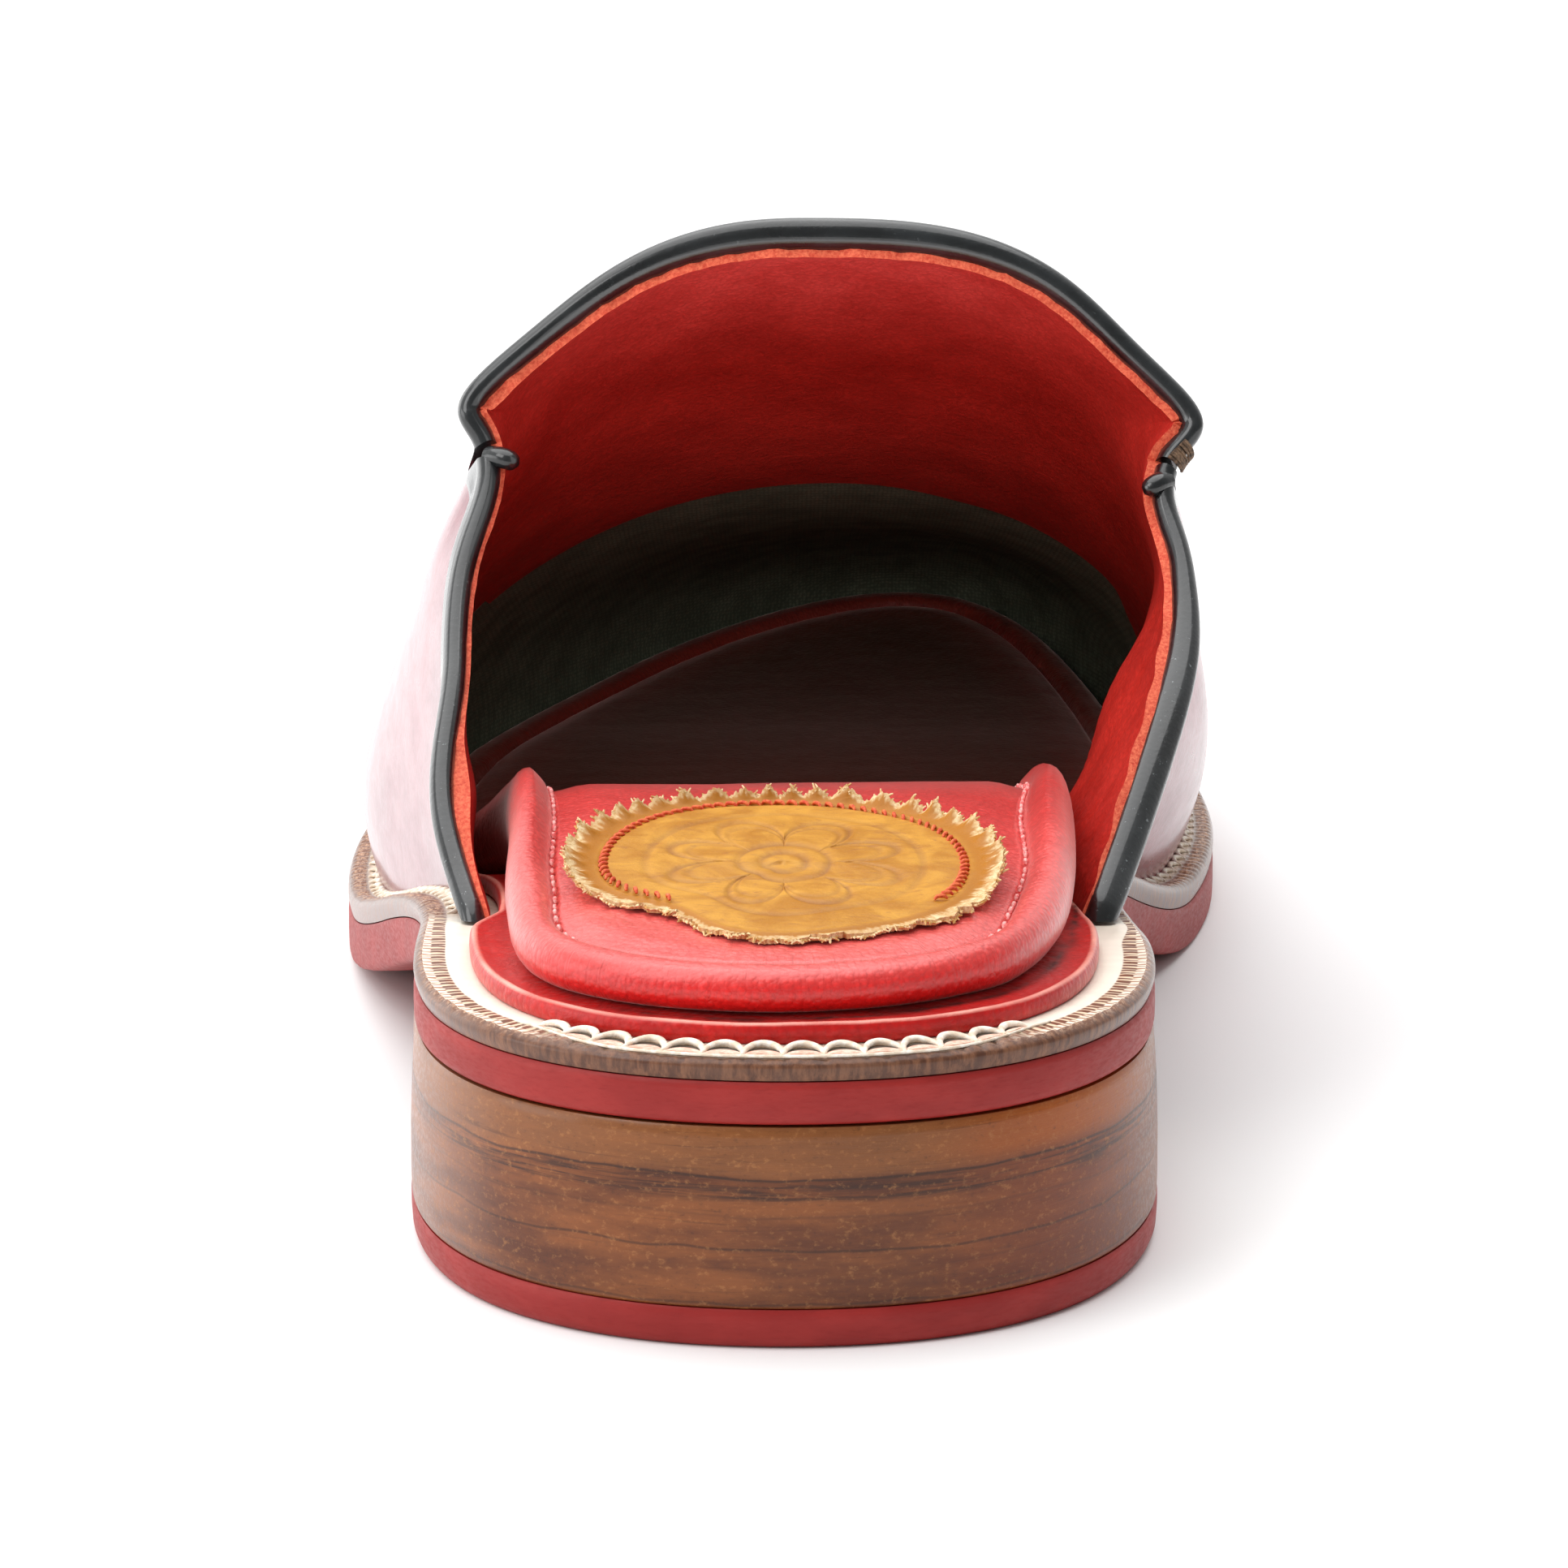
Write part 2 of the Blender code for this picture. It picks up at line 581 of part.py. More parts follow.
def patch_rim(turn):
    """Distance of the patch's rim from its centre: an oval drawn to a blunt point at the heel."""
    oval = 1.0 / np.hypot(np.cos(turn) / PATCH_HALF_WIDTH, np.sin(turn) / PATCH_HALF_LENGTH)
    away = (turn + np.pi / 2.0 + np.pi) % (2.0 * np.pi) - np.pi
    outer = 0.17 * np.exp(-(((away + 0.7) / 0.42) ** 2))
    inner = 0.07 * np.exp(-(((away - 0.5) / 0.35) ** 2))
    return oval * (1.0 - outer - inner)


def patch():
    """Leather patch with a pinked edge, bent over the padding."""
    teeth = 38
    rim = []
    for k in range(teeth * 2):
        turn = np.pi * k / teeth
        size = patch_rim(turn) * (1.0 if k % 2 else 0.93)
        rim.append((size * np.cos(turn), PATCH_Y + size * np.sin(turn)))
    rings = [np.array(rim)]
    for share in (0.66, 0.33):
        rings.append(np.array([0.0, PATCH_Y]) + (rings[0] - np.array([0.0, PATCH_Y])) * share)
    flat = np.concatenate(rings + [np.array([[0.0, PATCH_Y]])])
    count = teeth * 2
    under = pad_surface(flat[:, 0], flat[:, 1]) + 0.3
    low = np.column_stack([flat, under])
    high = np.column_stack([flat, under + PATCH_THICK])
    size = len(flat)
    faces = []
    for k in range(2):
        faces += wall_faces(k * count, (k + 1) * count, count, True)
        faces += wall_faces(size + k * count, size + (k + 1) * count, count)
    centre = size - 1
    for i in range(count):
        j = (i + 1) % count
        faces.append((2 * count + j, 2 * count + i, centre))
        faces.append((size + 2 * count + i, size + 2 * count + j, size + centre))
    faces += wall_faces(0, size, count)
    return mesh_object("label_patch", np.concatenate([low, high]), faces, (0.55, 0.3, 0.06), 0.6)


def pad_surface(x, y):
    tilt = PAD_TILT * (np.asarray(x, float) + 20.0) * np.exp(-(((y - 76.0) / 22.0) ** 2))
    return insole_top(x, y) + GAP + table(PAD_TOP, y) - tilt


def rolled(drop, share):
    """The padding's top lowered by drop, and lifted where the rolled edge stands proud at the waist."""
    rise = lambda y: ROLL_RISE * ramp(y, 18.0, 58.0) * (1.0 - ramp(y, 90.0, 130.0))
    return lambda x, y: pad_surface(x, y) - drop + share * rise(y)


def sock_pad():
    """Padding with a rolled edge: the roll, the stitched valley inside it and the cushion."""
    roll = [
        # in from the edge, height above the insole
        (1.6, 0.0), (0.3, 0.6), (0.0, 1.8),
    ]
    shoulder = [
        # in from the edge, below the cushion's top, share of the roll's rise
        (0.5, 1.1, 1.0), (2.4, 0.1, 1.0), (4.7, 0.8, 0.2), (7.0, 0.0, 0.0),
    ]
    low = raised(insole_top, GAP)
    levels = [(lambda x, y, a=a: pad_offset(x, y) + a, raised(low, b)) for a, b in roll]
    for inset, drop, share in shoulder:
        levels.append((lambda x, y, a=inset: pad_offset(x, y) + a, rolled(drop, share)))
    return slab("sock_pad", levels, (0.6, 0.05, 0.05), 0.45)


for existing in list(bpy.data.objects):
    bpy.data.objects.remove(existing, do_unlink=True)
bpy.context.scene.unit_settings.system = "METRIC"
PARTS = bpy.data.collections.new("mule")
bpy.context.scene.collection.children.link(PARTS)

RED_RUBBER = (0.3, 0.035, 0.045)
slab(
    "outsole",
    [(0.7, bottom), (0.0, raised(bottom, 0.7)), (0.0, raised(sole_top, -0.4)), (0.4, sole_top)],
    RED_RUBBER,
    0.5,
)
ring(
    "welt",
    [
        (0.1, welt_low), (0.1, raised(welt_low, 0.9)), (WELT_BEVEL, welt_top),
        (WELT_INSIDE, welt_top), (WELT_INSIDE, welt_low),
    ],
    (0.15, 0.08, 0.06),
    0.6,
)
slab(
    "heel_block",
    [
        (-0.6, lambda x, y: LIFT_THICK + GAP + 0.0 * x),
        (-0.5, lambda x, y: 10.0 + 0.0 * x),
        (0.1, raised(bottom, -GAP)),
    ],
    (0.16, 0.07, 0.035),
    0.4,
    BREAST_Y,
)
slab(
    "top_lift",
    [(-0.1, lambda x, y: 0.0 * x), (-0.5, lambda x, y: 0.5 + 0.0 * x), (-0.6, lambda x, y: LIFT_THICK + 0.0 * x)],
    RED_RUBBER,
    0.5,
    BREAST_Y,
)
slab(
    "insole",
    [
        (WELT_INSIDE + 0.3, raised(sole_top, GAP)), (WELT_INSIDE + 0.3, insole_low),
        (insole_offset, insole_low), (insole_offset, raised(insole_low, 1.0)),
        (lambda x, y: insole_offset(x, y) + 0.6, insole_top),
    ],
    (0.55, 0.05, 0.05),
    0.5,
)
sock_pad()
patch()
upper()
binding("tongue_binding", TURNS_TONGUE)
binding("outer_quarter_binding", TURNS_OUT)
binding("inner_quarter_binding", TURNS_IN)
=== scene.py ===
"""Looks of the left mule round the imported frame: fine meshes, materials, light and camera.

Lengths are in millimetres until add_piece turns them into metres and moves them into the frame.
"""

import bmesh
import bpy
import numpy as np
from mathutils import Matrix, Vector, noise


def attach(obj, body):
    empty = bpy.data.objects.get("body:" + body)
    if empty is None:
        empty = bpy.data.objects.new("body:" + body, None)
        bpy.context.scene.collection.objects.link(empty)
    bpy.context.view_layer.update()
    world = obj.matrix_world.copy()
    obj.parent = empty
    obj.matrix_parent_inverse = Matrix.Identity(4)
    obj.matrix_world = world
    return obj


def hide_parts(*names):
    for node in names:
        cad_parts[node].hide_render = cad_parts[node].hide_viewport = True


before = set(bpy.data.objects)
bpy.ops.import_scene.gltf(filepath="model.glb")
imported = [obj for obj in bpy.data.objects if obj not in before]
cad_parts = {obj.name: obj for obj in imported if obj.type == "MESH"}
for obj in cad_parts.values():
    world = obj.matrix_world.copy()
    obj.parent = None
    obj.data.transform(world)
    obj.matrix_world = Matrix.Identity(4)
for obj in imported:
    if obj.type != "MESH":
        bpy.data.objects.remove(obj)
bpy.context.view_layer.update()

MM = 0.001
SHIFT_X = -0.9
SHIFT_Y = -145.7

# Outer edge of the sole. Minus x is the outer side of the foot, y runs from the heel to the toe.
OUTLINE = [
    # x, y
    (0, 0), (-14.5, 2.6), (-25.3, 9.8), (-32.5, 21.5), (-35.7, 37), (-36.5, 54),
    (-39.2, 74), (-44.6, 98), (-50.3, 124), (-53.8, 150), (-54.2, 176), (-51.2, 202),
    (-44.6, 226), (-34.2, 250), (-19.6, 271.5), (-2, 286), (16.5, 292), (33, 287.6),
    (44.6, 274), (51.2, 254), (54.6, 230), (56.1, 204), (56, 182), (53.6, 160),
    (48, 138), (40.4, 115), (34.8, 92), (33.6, 72), (35.2, 54), (35.8, 38),
    (32.6, 21.5), (25.3, 9.8), (14.5, 2.6),
]
SOLE_LENGTH = 292
GAP = 0.25
FOOT_GAP = 0.4
SIDE_GAP = 0.9
LIFT_THICK = 3.7
HEEL_TOP = 20.2
BREAST_Y = 70
BREAST_HOLLOW = 2.5
ARCH_START = 42
BALL_START = 148
BALL_END = 214
TOE_SPRING = 11
WAIST_TWIST = 4
SOLE_THICK_HEEL = 4
SOLE_THICK_BALL = 5.5
WELT_THICK_HEEL = 1.9
WELT_THICK_BALL = 2.8
WELT_INSIDE = 11
INSOLE_THICK = 1.6
RIM_OFFSET = 4.7
RIM_SIDE = 5.4
WALL = 2.6

PAD_EDGE = 7
PAD_SIDE = 8.9
PAD_LEAN = 1.4
ROLL_RISE = 1.9
PAD_TILT = 0.04
PAD_WAIST = 3.7
PAD_TOP = [
    # y, top of the padding above the insole
    (8, 3.9), (20, 4.6), (40, 6.2), (58, 8.5), (70, 9.5), (82, 8.9), (105, 6.6), (135, 3.6),
    (165, 3), (290, 3),
]
PATCH_HALF_WIDTH = 21.4
PATCH_HALF_LENGTH = 22.2
PATCH_Y = 36.8
PATCH_THICK = 1.1

LAST = [
    # y, ridge z, ridge x, bulge out, bulge in, squareness out, squareness in
    (40, 117, 2, 5.4, 11, 2.2, 3),
    (60, 110, 2, 4.4, 12.4, 2.2, 3.1),
    (80, 102, 2, 1.2, 13.4, 2.15, 3.25),
    (105, 92.6, 2, 0.9, 12.9, 2.3, 3.05),
    (130, 79.5, 3, 2.2, 9, 2.05, 2.8),
    (160, 63.5, 5.5, 3.2, 4.8, 2, 2.4),
    (190, 51.5, 8.5, 2.4, 2.8, 2.05, 2.3),
    (220, 43.5, 11.5, 2, 2.2, 2.1, 2.25),
    (250, 38.5, 15, 1.6, 1.8, 2.2, 2.3),
    (288, 35.5, 18.5, 1.2, 1.2, 2.3, 2.4),
]
TOE_ROUND_START = 226
TOE_ROUND_POWER = 2.6
TOE_RADIUS = 34

QUARTER_EDGE = [
    # z, y of the quarter's edge
    (20, 44), (26.8, 50), (31, 56), (36.7, 63.5), (44, 73), (51.8, 83), (58.5, 90.5),
    (66, 97.5), (80, 108),
]
NOTCH_Z_OUT = 67
NOTCH_Z_IN = 65
TONGUE_CORNER_Y = 99.5
TONGUE_APEX_Y = 107
TONGUE_POWER = 2.4
FLARE_OUT = 5
FLARE_IN = 5.7
FLARE_LIFT = 5.5
FLARE_SPREAD = 7
PINCH = 3.3
PINCH_SPREAD = 3.4
PINCH_BELOW_OUT = 8
PINCH_BELOW_IN = 5.5
TUCK_OUT = 0.24
TUCK_IN = 0.38
WAIST_IN = 4.6
WAIST_Z = 40
WAIST_SPREAD = 9
FLARE_FADE = 12
BAND = 4.4
NOTCH_DEPTH = 7
NOTCH_WIDTH = 0.055
NOTCH_SLIT = 0.012
ROLL_TOP = 0.65
ROLL_SIDE = 0.25
SEAM = 0.4


def ramp(y, start, end):
    """Smooth step from 0 to 1 between start and end."""
    t = np.clip((np.asarray(y, float) - start) / (end - start), 0, 1)
    return t * t * (3 - 2 * t)


def bell(away, wide):
    """1 where away is 0, fading to both sides over wide."""
    return np.exp(-((away / wide) ** 2))


def hermite(s, h, start, end, slope, next_slope):
    """Cubic from start to end with those slopes, at share s of a step h."""
    bend = h * s * (1 - s) * ((1 - s) * slope - s * next_slope)
    return start + (end - start) * s * s * (3 - 2 * s) + bend


def table(rows, y, column=1):
    """Value at y of one column of a short table, by a monotone cubic through its rows."""
    rows = np.array(rows, float)
    x, v = rows[:, 0], rows[:, column]
    h = np.diff(x)
    d = np.diff(v) / h
    both = d[1:] * d[:-1] > 0
    w1, w2 = 2 * h[1:] + h[:-1], h[1:] + 2 * h[:-1]
    last, following = np.where(both, d[:-1], 1), np.where(both, d[1:], 1)
    inside = np.where(both, (w1 + w2) / (w1 / last + w2 / following), 0)
    m = np.concatenate([d[:1], inside, d[-1:]])
    y = np.clip(y, x[0], x[-1])
    k = np.clip(np.searchsorted(x, y, side="right") - 1, 0, len(x) - 2)
    return hermite((y - x[k]) / h[k], h[k], v[k], v[k + 1], m[k], m[k + 1])


def unit(v):
    return v / np.maximum(np.linalg.norm(v, axis=-1, keepdims=True), 1e-9)


def lengths(line):
    """Length along a line at each of its points."""
    return np.concatenate([[0], np.cumsum(np.linalg.norm(np.diff(line, axis=0), axis=1))])


def closed_spline(points, count):
    """Periodic cubic spline through the points, by chord length."""
    p = np.array(points, float)
    own = np.arange(len(p))
    after = (own + 1) % len(p)
    knots = lengths(np.concatenate([p, p[:1]]))
    step = np.diff(knots)[:, None]
    before = np.roll(step, 1)
    matrix = np.zeros((len(p), len(p)))
    matrix[own, own - 1] = step[:, 0]
    matrix[own, own] = 2 * (before + step)[:, 0]
    matrix[own, after] = before[:, 0]
    slope = (p[after] - p) / step
    tangent = np.linalg.solve(matrix, 3 * (slope * before + np.roll(slope, 1, 0) * step))
    u = np.linspace(0, knots[-1], count, endpoint=False)
    k = np.clip(np.searchsorted(knots, u, side="right") - 1, 0, len(p) - 1)
    share = (u - knots[k])[:, None] / step[k]
    return hermite(share, step[k], p[k], p[after[k]], tangent[k], tangent[after[k]])


EDGE_POINTS = 2400
EDGE = closed_spline(OUTLINE, EDGE_POINTS)
ALONG = unit(np.roll(EDGE, -1, 0) - np.roll(EDGE, 1, 0))
INWARD = np.stack([ALONG[:, 1], -ALONG[:, 0]], 1)
HEEL_INDEX = int(np.argmin(EDGE[:, 1]))
TOE_INDEX = int(np.argmax(EDGE[:, 1]))


def moved_edge(offset):
    """The sole's outline moved inwards by offset, a number or a function of x and y."""
    depth = offset(*EDGE.T) if callable(offset) else np.full(len(EDGE), float(offset))
    return EDGE + INWARD * depth[:, None]


def two_sides(offset):
    """Outer and inner side of the moved outline, each from the heel to the toe."""
    moved = np.roll(moved_edge(offset), -HEEL_INDEX, 0)
    tip = int(np.argmax(moved[:, 1]))
    return moved[: tip + 1], np.concatenate([moved[tip:], moved[:1]])[::-1]


def bottom(x, y):
    """Underside of the outsole: heel seat, twisted waist, tread flat and toe spring."""
    heel = (HEEL_TOP + GAP) * (1 - ramp(y, ARCH_START, BALL_START))
    waist = ramp(y, 50, 84) * (1 - ramp(y, 100, BALL_START))
    twist = WAIST_TWIST * waist * np.clip((np.asarray(x, float) + 45) / 80, 0, 1)
    lift = np.clip((np.asarray(y, float) - BALL_END) / (SOLE_LENGTH - BALL_END), 0, None)
    return heel + twist + TOE_SPRING * lift**2


def sole_top(x, y):
    return bottom(x, y) + SOLE_THICK_HEEL + (SOLE_THICK_BALL - SOLE_THICK_HEEL) * ramp(y, 50, 100)


def welt_low(x, y):
    return sole_top(x, y) + GAP


def welt_top(x, y):
    thick = WELT_THICK_HEEL + (WELT_THICK_BALL - WELT_THICK_HEEL) * ramp(y, 60, 120)
    return welt_low(x, y) + thick


def insole_low(x, y):
    return welt_top(x, y) + GAP


def insole_top(x, y):
    return insole_low(x, y) + INSOLE_THICK


def raised(level, rise):
    """The level function with a constant added."""
    return lambda x, y: level(x, y) + rise


def feather_offset(x, y):
    """How far the upper stands in from the edge of the welt, less at the inner waist."""
    inner = np.clip(0.5 + np.asarray(x, float) / 20, 0, 1) * (1 - ramp(y, 70, 120))
    return 4.4 - 0.4 * ramp(y, 60, 120) + ramp(y, 200, 285) - 1.9 * inner


def insole_offset(x, y):
    rim = RIM_OFFSET + (RIM_SIDE - RIM_OFFSET) * ramp(y, 5, 35)
    return rim + (feather_offset(x, y) + WALL + SIDE_GAP - rim) * ramp(y, 40, 48.5)


def pad_offset(x, y):
    inner = np.clip(np.asarray(x, float) / 22, 0, 1)
    lean = inner * (PAD_LEAN * (1 - ramp(y, 14, 34)) - PAD_WAIST * bell(y - 70, 26))
    return PAD_EDGE + (PAD_SIDE - PAD_EDGE) * ramp(y, 10, 34) + lean + ramp(y, 220, 285)


FEATHER_OUT, FEATHER_IN = two_sides(feather_offset)
TIP_X = float(FEATHER_OUT[-1, 0])
TIP_Y = float(FEATHER_OUT[-1, 1])


def last_point(t, y):
    """Outside of the upper. t runs from 0 at the outer feather line over the ridge to pi inside."""
    t, y = np.broadcast_arrays(np.asarray(t, float), np.asarray(y, float))
    inner = t > np.pi / 2
    foot_out = np.interp(y, FEATHER_OUT[:, 1], FEATHER_OUT[:, 0])
    foot_in = np.interp(y, FEATHER_IN[:, 1], FEATHER_IN[:, 0])
    foot = np.where(inner, foot_in, foot_out)
    base = welt_top(foot, y) + FOOT_GAP
    near = np.clip((y - TOE_ROUND_START) / (TIP_Y - TOE_ROUND_START), 0, 1)
    close = (1 - near**TOE_ROUND_POWER) ** (1 / TOE_ROUND_POWER)
    height = (table(LAST, y, 1) - base) * close
    middle = table(LAST, y, 2)
    middle = middle + (TIP_X - middle) * near**2
    bulge = np.where(inner, table(LAST, y, 4), table(LAST, y, 3)) * close
    square = np.where(inner, table(LAST, y, 6), table(LAST, y, 5))
    side = np.abs(np.cos(t)) ** (2 / square)
    up = np.abs(np.sin(t)) ** (2 / square)
    tuck = bulge * np.clip(1 - up / np.where(inner, TUCK_IN, TUCK_OUT), 0, 1) ** 2
    z = base + height * up
    waist = np.where(inner, WAIST_IN, 0) * ramp(y, 80, 100) * (1 - ramp(y, 108, 140))
    waist = waist * bell(z - WAIST_Z, WAIST_SPREAD)
    out = (np.abs(foot - middle) + bulge) * side - tuck - waist
    below = z - np.where(inner, NOTCH_Z_IN, NOTCH_Z_OUT)
    flare = np.where(inner, FLARE_IN, FLARE_OUT) * bell(below - FLARE_LIFT, FLARE_SPREAD)
    reach = np.where(below < 0, np.where(inner, PINCH_BELOW_IN, PINCH_BELOW_OUT), PINCH_SPREAD)
    pinch = PINCH * bell(below, reach)
    out = out + (flare - pinch) * np.exp(-np.clip(y - TONGUE_CORNER_Y, 0, None) / FLARE_FADE)
    return np.stack([np.where(inner, middle + out, middle - out), y, z], -1)


def turn_at(level, inner):
    """The t at which the section through the tongue's corners reaches the height level."""
    t = np.linspace(np.pi / 2, np.pi, 2001) if inner else np.linspace(np.pi / 2, 0, 2001)
    z = last_point(t, TONGUE_CORNER_Y)[:, 2]
    return float(np.interp(-level, -z, t))


NOTCH_OUT = turn_at(NOTCH_Z_OUT, False)
NOTCH_IN = turn_at(NOTCH_Z_IN, True)


def collar(t):
    """y of the topline at t: the tongue between the notches, and the quarters below them."""
    t = np.asarray(t, float)
    y = np.full(t.shape, 80.0)
    for _ in range(30):
        y = 0.5 * y + 0.5 * table(QUARTER_EDGE, last_point(t, y)[..., 2])
    half = np.where(t > np.pi / 2, NOTCH_IN - np.pi / 2, np.pi / 2 - NOTCH_OUT)
    across = np.clip(np.abs(t - np.pi / 2) / half, 0, 1) ** TONGUE_POWER
    tongue = TONGUE_APEX_Y + (TONGUE_CORNER_Y - TONGUE_APEX_Y) * across
    return np.where((t > NOTCH_OUT) & (t < NOTCH_IN), tongue, y)


def seam(t):
    """y where the binding ends: a band along the topline, deeper at each notch."""
    notch = bell(t - NOTCH_OUT, NOTCH_WIDTH) + bell(t - NOTCH_IN, NOTCH_WIDTH)
    return collar(t) + BAND + NOTCH_DEPTH * notch


def out_normal(t, y):
    """Outward unit normal of the upper's outside."""
    step_t = 1e-3
    step_y = np.minimum(0.05, 0.2 * np.clip(TIP_Y - y, 1e-3, None))
    t_low = np.clip(t - step_t, 0, np.pi)
    t_high = np.clip(t + step_t, 0, np.pi)
    round_way = last_point(t_high, y) - last_point(t_low, y)
    along = last_point(t, y + step_y) - last_point(t, y - step_y)
    normal = np.cross(round_way, along)
    size = np.linalg.norm(normal, axis=-1, keepdims=True)
    return normal / np.where(size > 1e-12, size, 1)


def wall_point(t, y, depth):
    """A point under the upper's outside by depth. The feather line stays at the height of its base."""
    outer = last_point(t, y)
    normal = out_normal(t, y)
    point = outer - normal * np.asarray(depth, float)[..., None]
    foot = (t < 1e-6) | (t > np.pi - 1e-6)
    flat = normal * np.array([1, 1, 0])
    level = outer - unit(flat) * np.asarray(depth, float)[..., None]
    return np.where(foot[..., None], level, point)


def even_turns(count, start, end):
    """Values of t that space the section through the tongue's corners evenly, crowded at the notches."""
    t = np.linspace(start, end, 4001)
    step = np.diff(lengths(last_point(t, TONGUE_CORNER_Y)))
    middle = 0.5 * (t[1:] + t[:-1])
    crowd = bell(middle - NOTCH_OUT, 0.09) + bell(middle - NOTCH_IN, 0.09)
    total = np.concatenate([[0], np.cumsum(step * (1 + 2.5 * crowd))])
    return np.interp(np.linspace(0, total[-1], count), total, t)


def strip(a, b, flip=False):
    """Quads between two lines of point numbers."""
    quads = zip(a, a[1:], b[1:], b)
    return [quad[::-1] for quad in quads] if flip else list(quads)


def wall_faces(start_a, start_b, count, flip=False):
    """Quads between two closed loops of count points."""
    loop = np.arange(count + 1) % count
    return strip(start_a + loop, start_b + loop, flip)


def tube_faces(start, rows, count):
    """Faces of a tube through rows rings of count points, with its two ends."""
    faces = [tuple(range(start + at, start + at + count)) for at in (0, (rows - 1) * count)]
    for at in range(start, start + (rows - 1) * count, count):
        faces += wall_faces(at, at + count, count)
    return faces


def sole_indices(stations, last_y=None):
    """Indices of EDGE on both sides at matching y, from the heel to the toe or to last_y."""
    count = len(EDGE)
    outer = (HEEL_INDEX + np.arange((TOE_INDEX - HEEL_INDEX) % count + 1)) % count
    inner = (HEEL_INDEX - np.arange((HEEL_INDEX - TOE_INDEX) % count + 1)) % count
    if last_y is not None:
        outer = outer[EDGE[outer, 1] <= last_y]
        inner = inner[EDGE[inner, 1] <= last_y]
    path = lengths(EDGE[outer])
    picks = np.searchsorted(path, np.linspace(0, path[-1], stations + 1))
    picks = outer[np.clip(picks, 0, len(outer) - 1)]
    order = np.argsort(EDGE[inner, 1])
    match = np.interp(EDGE[picks, 1], EDGE[inner[order], 1], order)
    return picks, inner[np.round(match).astype(int)]


def sole_loop(offset, level, stations, last_y=None):
    """Closed loop round the sole (or the heel, with a hollow breast), and the cap rows across it."""
    moved = moved_edge(offset)
    left, right = [moved[side][:, None] for side in sole_indices(stations, last_y)]
    share = np.linspace(0, 1, CAP_POINTS + 2)[:, None]
    rows = (left + (right - left) * share)[1:]
    if last_y is None:
        rows, end = rows[:-1], left[-1]
        caps = rows[:, 1:-1]
    else:
        inset = 0 if callable(offset) else float(offset)
        rows[-1, :, 1] = last_y - inset - BREAST_HOLLOW * (1 - (2 * share[:, 0] - 1) ** 2)
        end = rows[-1, 1:-1]
        caps = rows[:-1, 1:-1]
    loop = np.concatenate([left[0], rows[:, 0], end, rows[::-1, -1]])
    return [np.concatenate([flat, level(flat[..., 0], flat[..., 1])[..., None]], -1) for flat in (loop, caps)]


def cap_faces(loop_start, cap_start, loop_count, row_count, whole):
    """Faces over the inside of a loop. whole means that the loop ends in a toe tip."""
    k = np.arange(1, row_count + 1)[:, None]
    middle = cap_start + (k - 1) * CAP_POINTS + np.arange(CAP_POINTS)
    tip = loop_start + row_count + 1
    if not whole:
        middle[-1] = tip + np.arange(CAP_POINTS)
    rows = np.concatenate([loop_start + k, middle, loop_start + loop_count - k], 1)
    faces = [(loop_start, a, b) for a, b in zip(rows[0], rows[0, 1:])]
    for a, b in zip(rows, rows[1:]):
        faces += strip(a, b, True)
    return faces + [(b, tip, a) for a, b in zip(rows[-1], rows[-1, 1:]) if whole]


def slab_mesh(levels, stations, last_y=None):
    """Points, faces and level numbers of a capped solid through a stack of (offset, level) loops."""
    points, faces, numbers, start, total = [], [], [], 0, 0
    for k, (offset, level) in enumerate(levels):
        loop, caps = sole_loop(offset, level, stations, last_y)
        if k:
            faces += wall_faces(start, total, len(loop))
        start = total
        total += len(loop)
        points.append(loop)
        if k in (0, len(levels) - 1):
            rows = (len(loop) - (2 if last_y is None else 1 + CAP_POINTS)) // 2
            faces += cap_faces(start, total, len(loop), rows, last_y is None)
            points.append(caps.reshape(-1, 3))
            total += len(points[-1])
        numbers += [k] * (total - start)
    return np.concatenate(points), faces, np.array(numbers)


ROOT = "root"
SHIFT = np.array([SHIFT_X, SHIFT_Y, 0])
UP = np.array([0, 0, 1])


def srgb(red, green, blue):
    """Linear colour from display values of 0 to 255."""
    value = np.array([red, green, blue], float) / 255
    linear = np.where(value <= 0.04045, value / 12.92, ((value + 0.055) / 1.055) ** 2.4)
    return (*[float(v) for v in linear], 1)


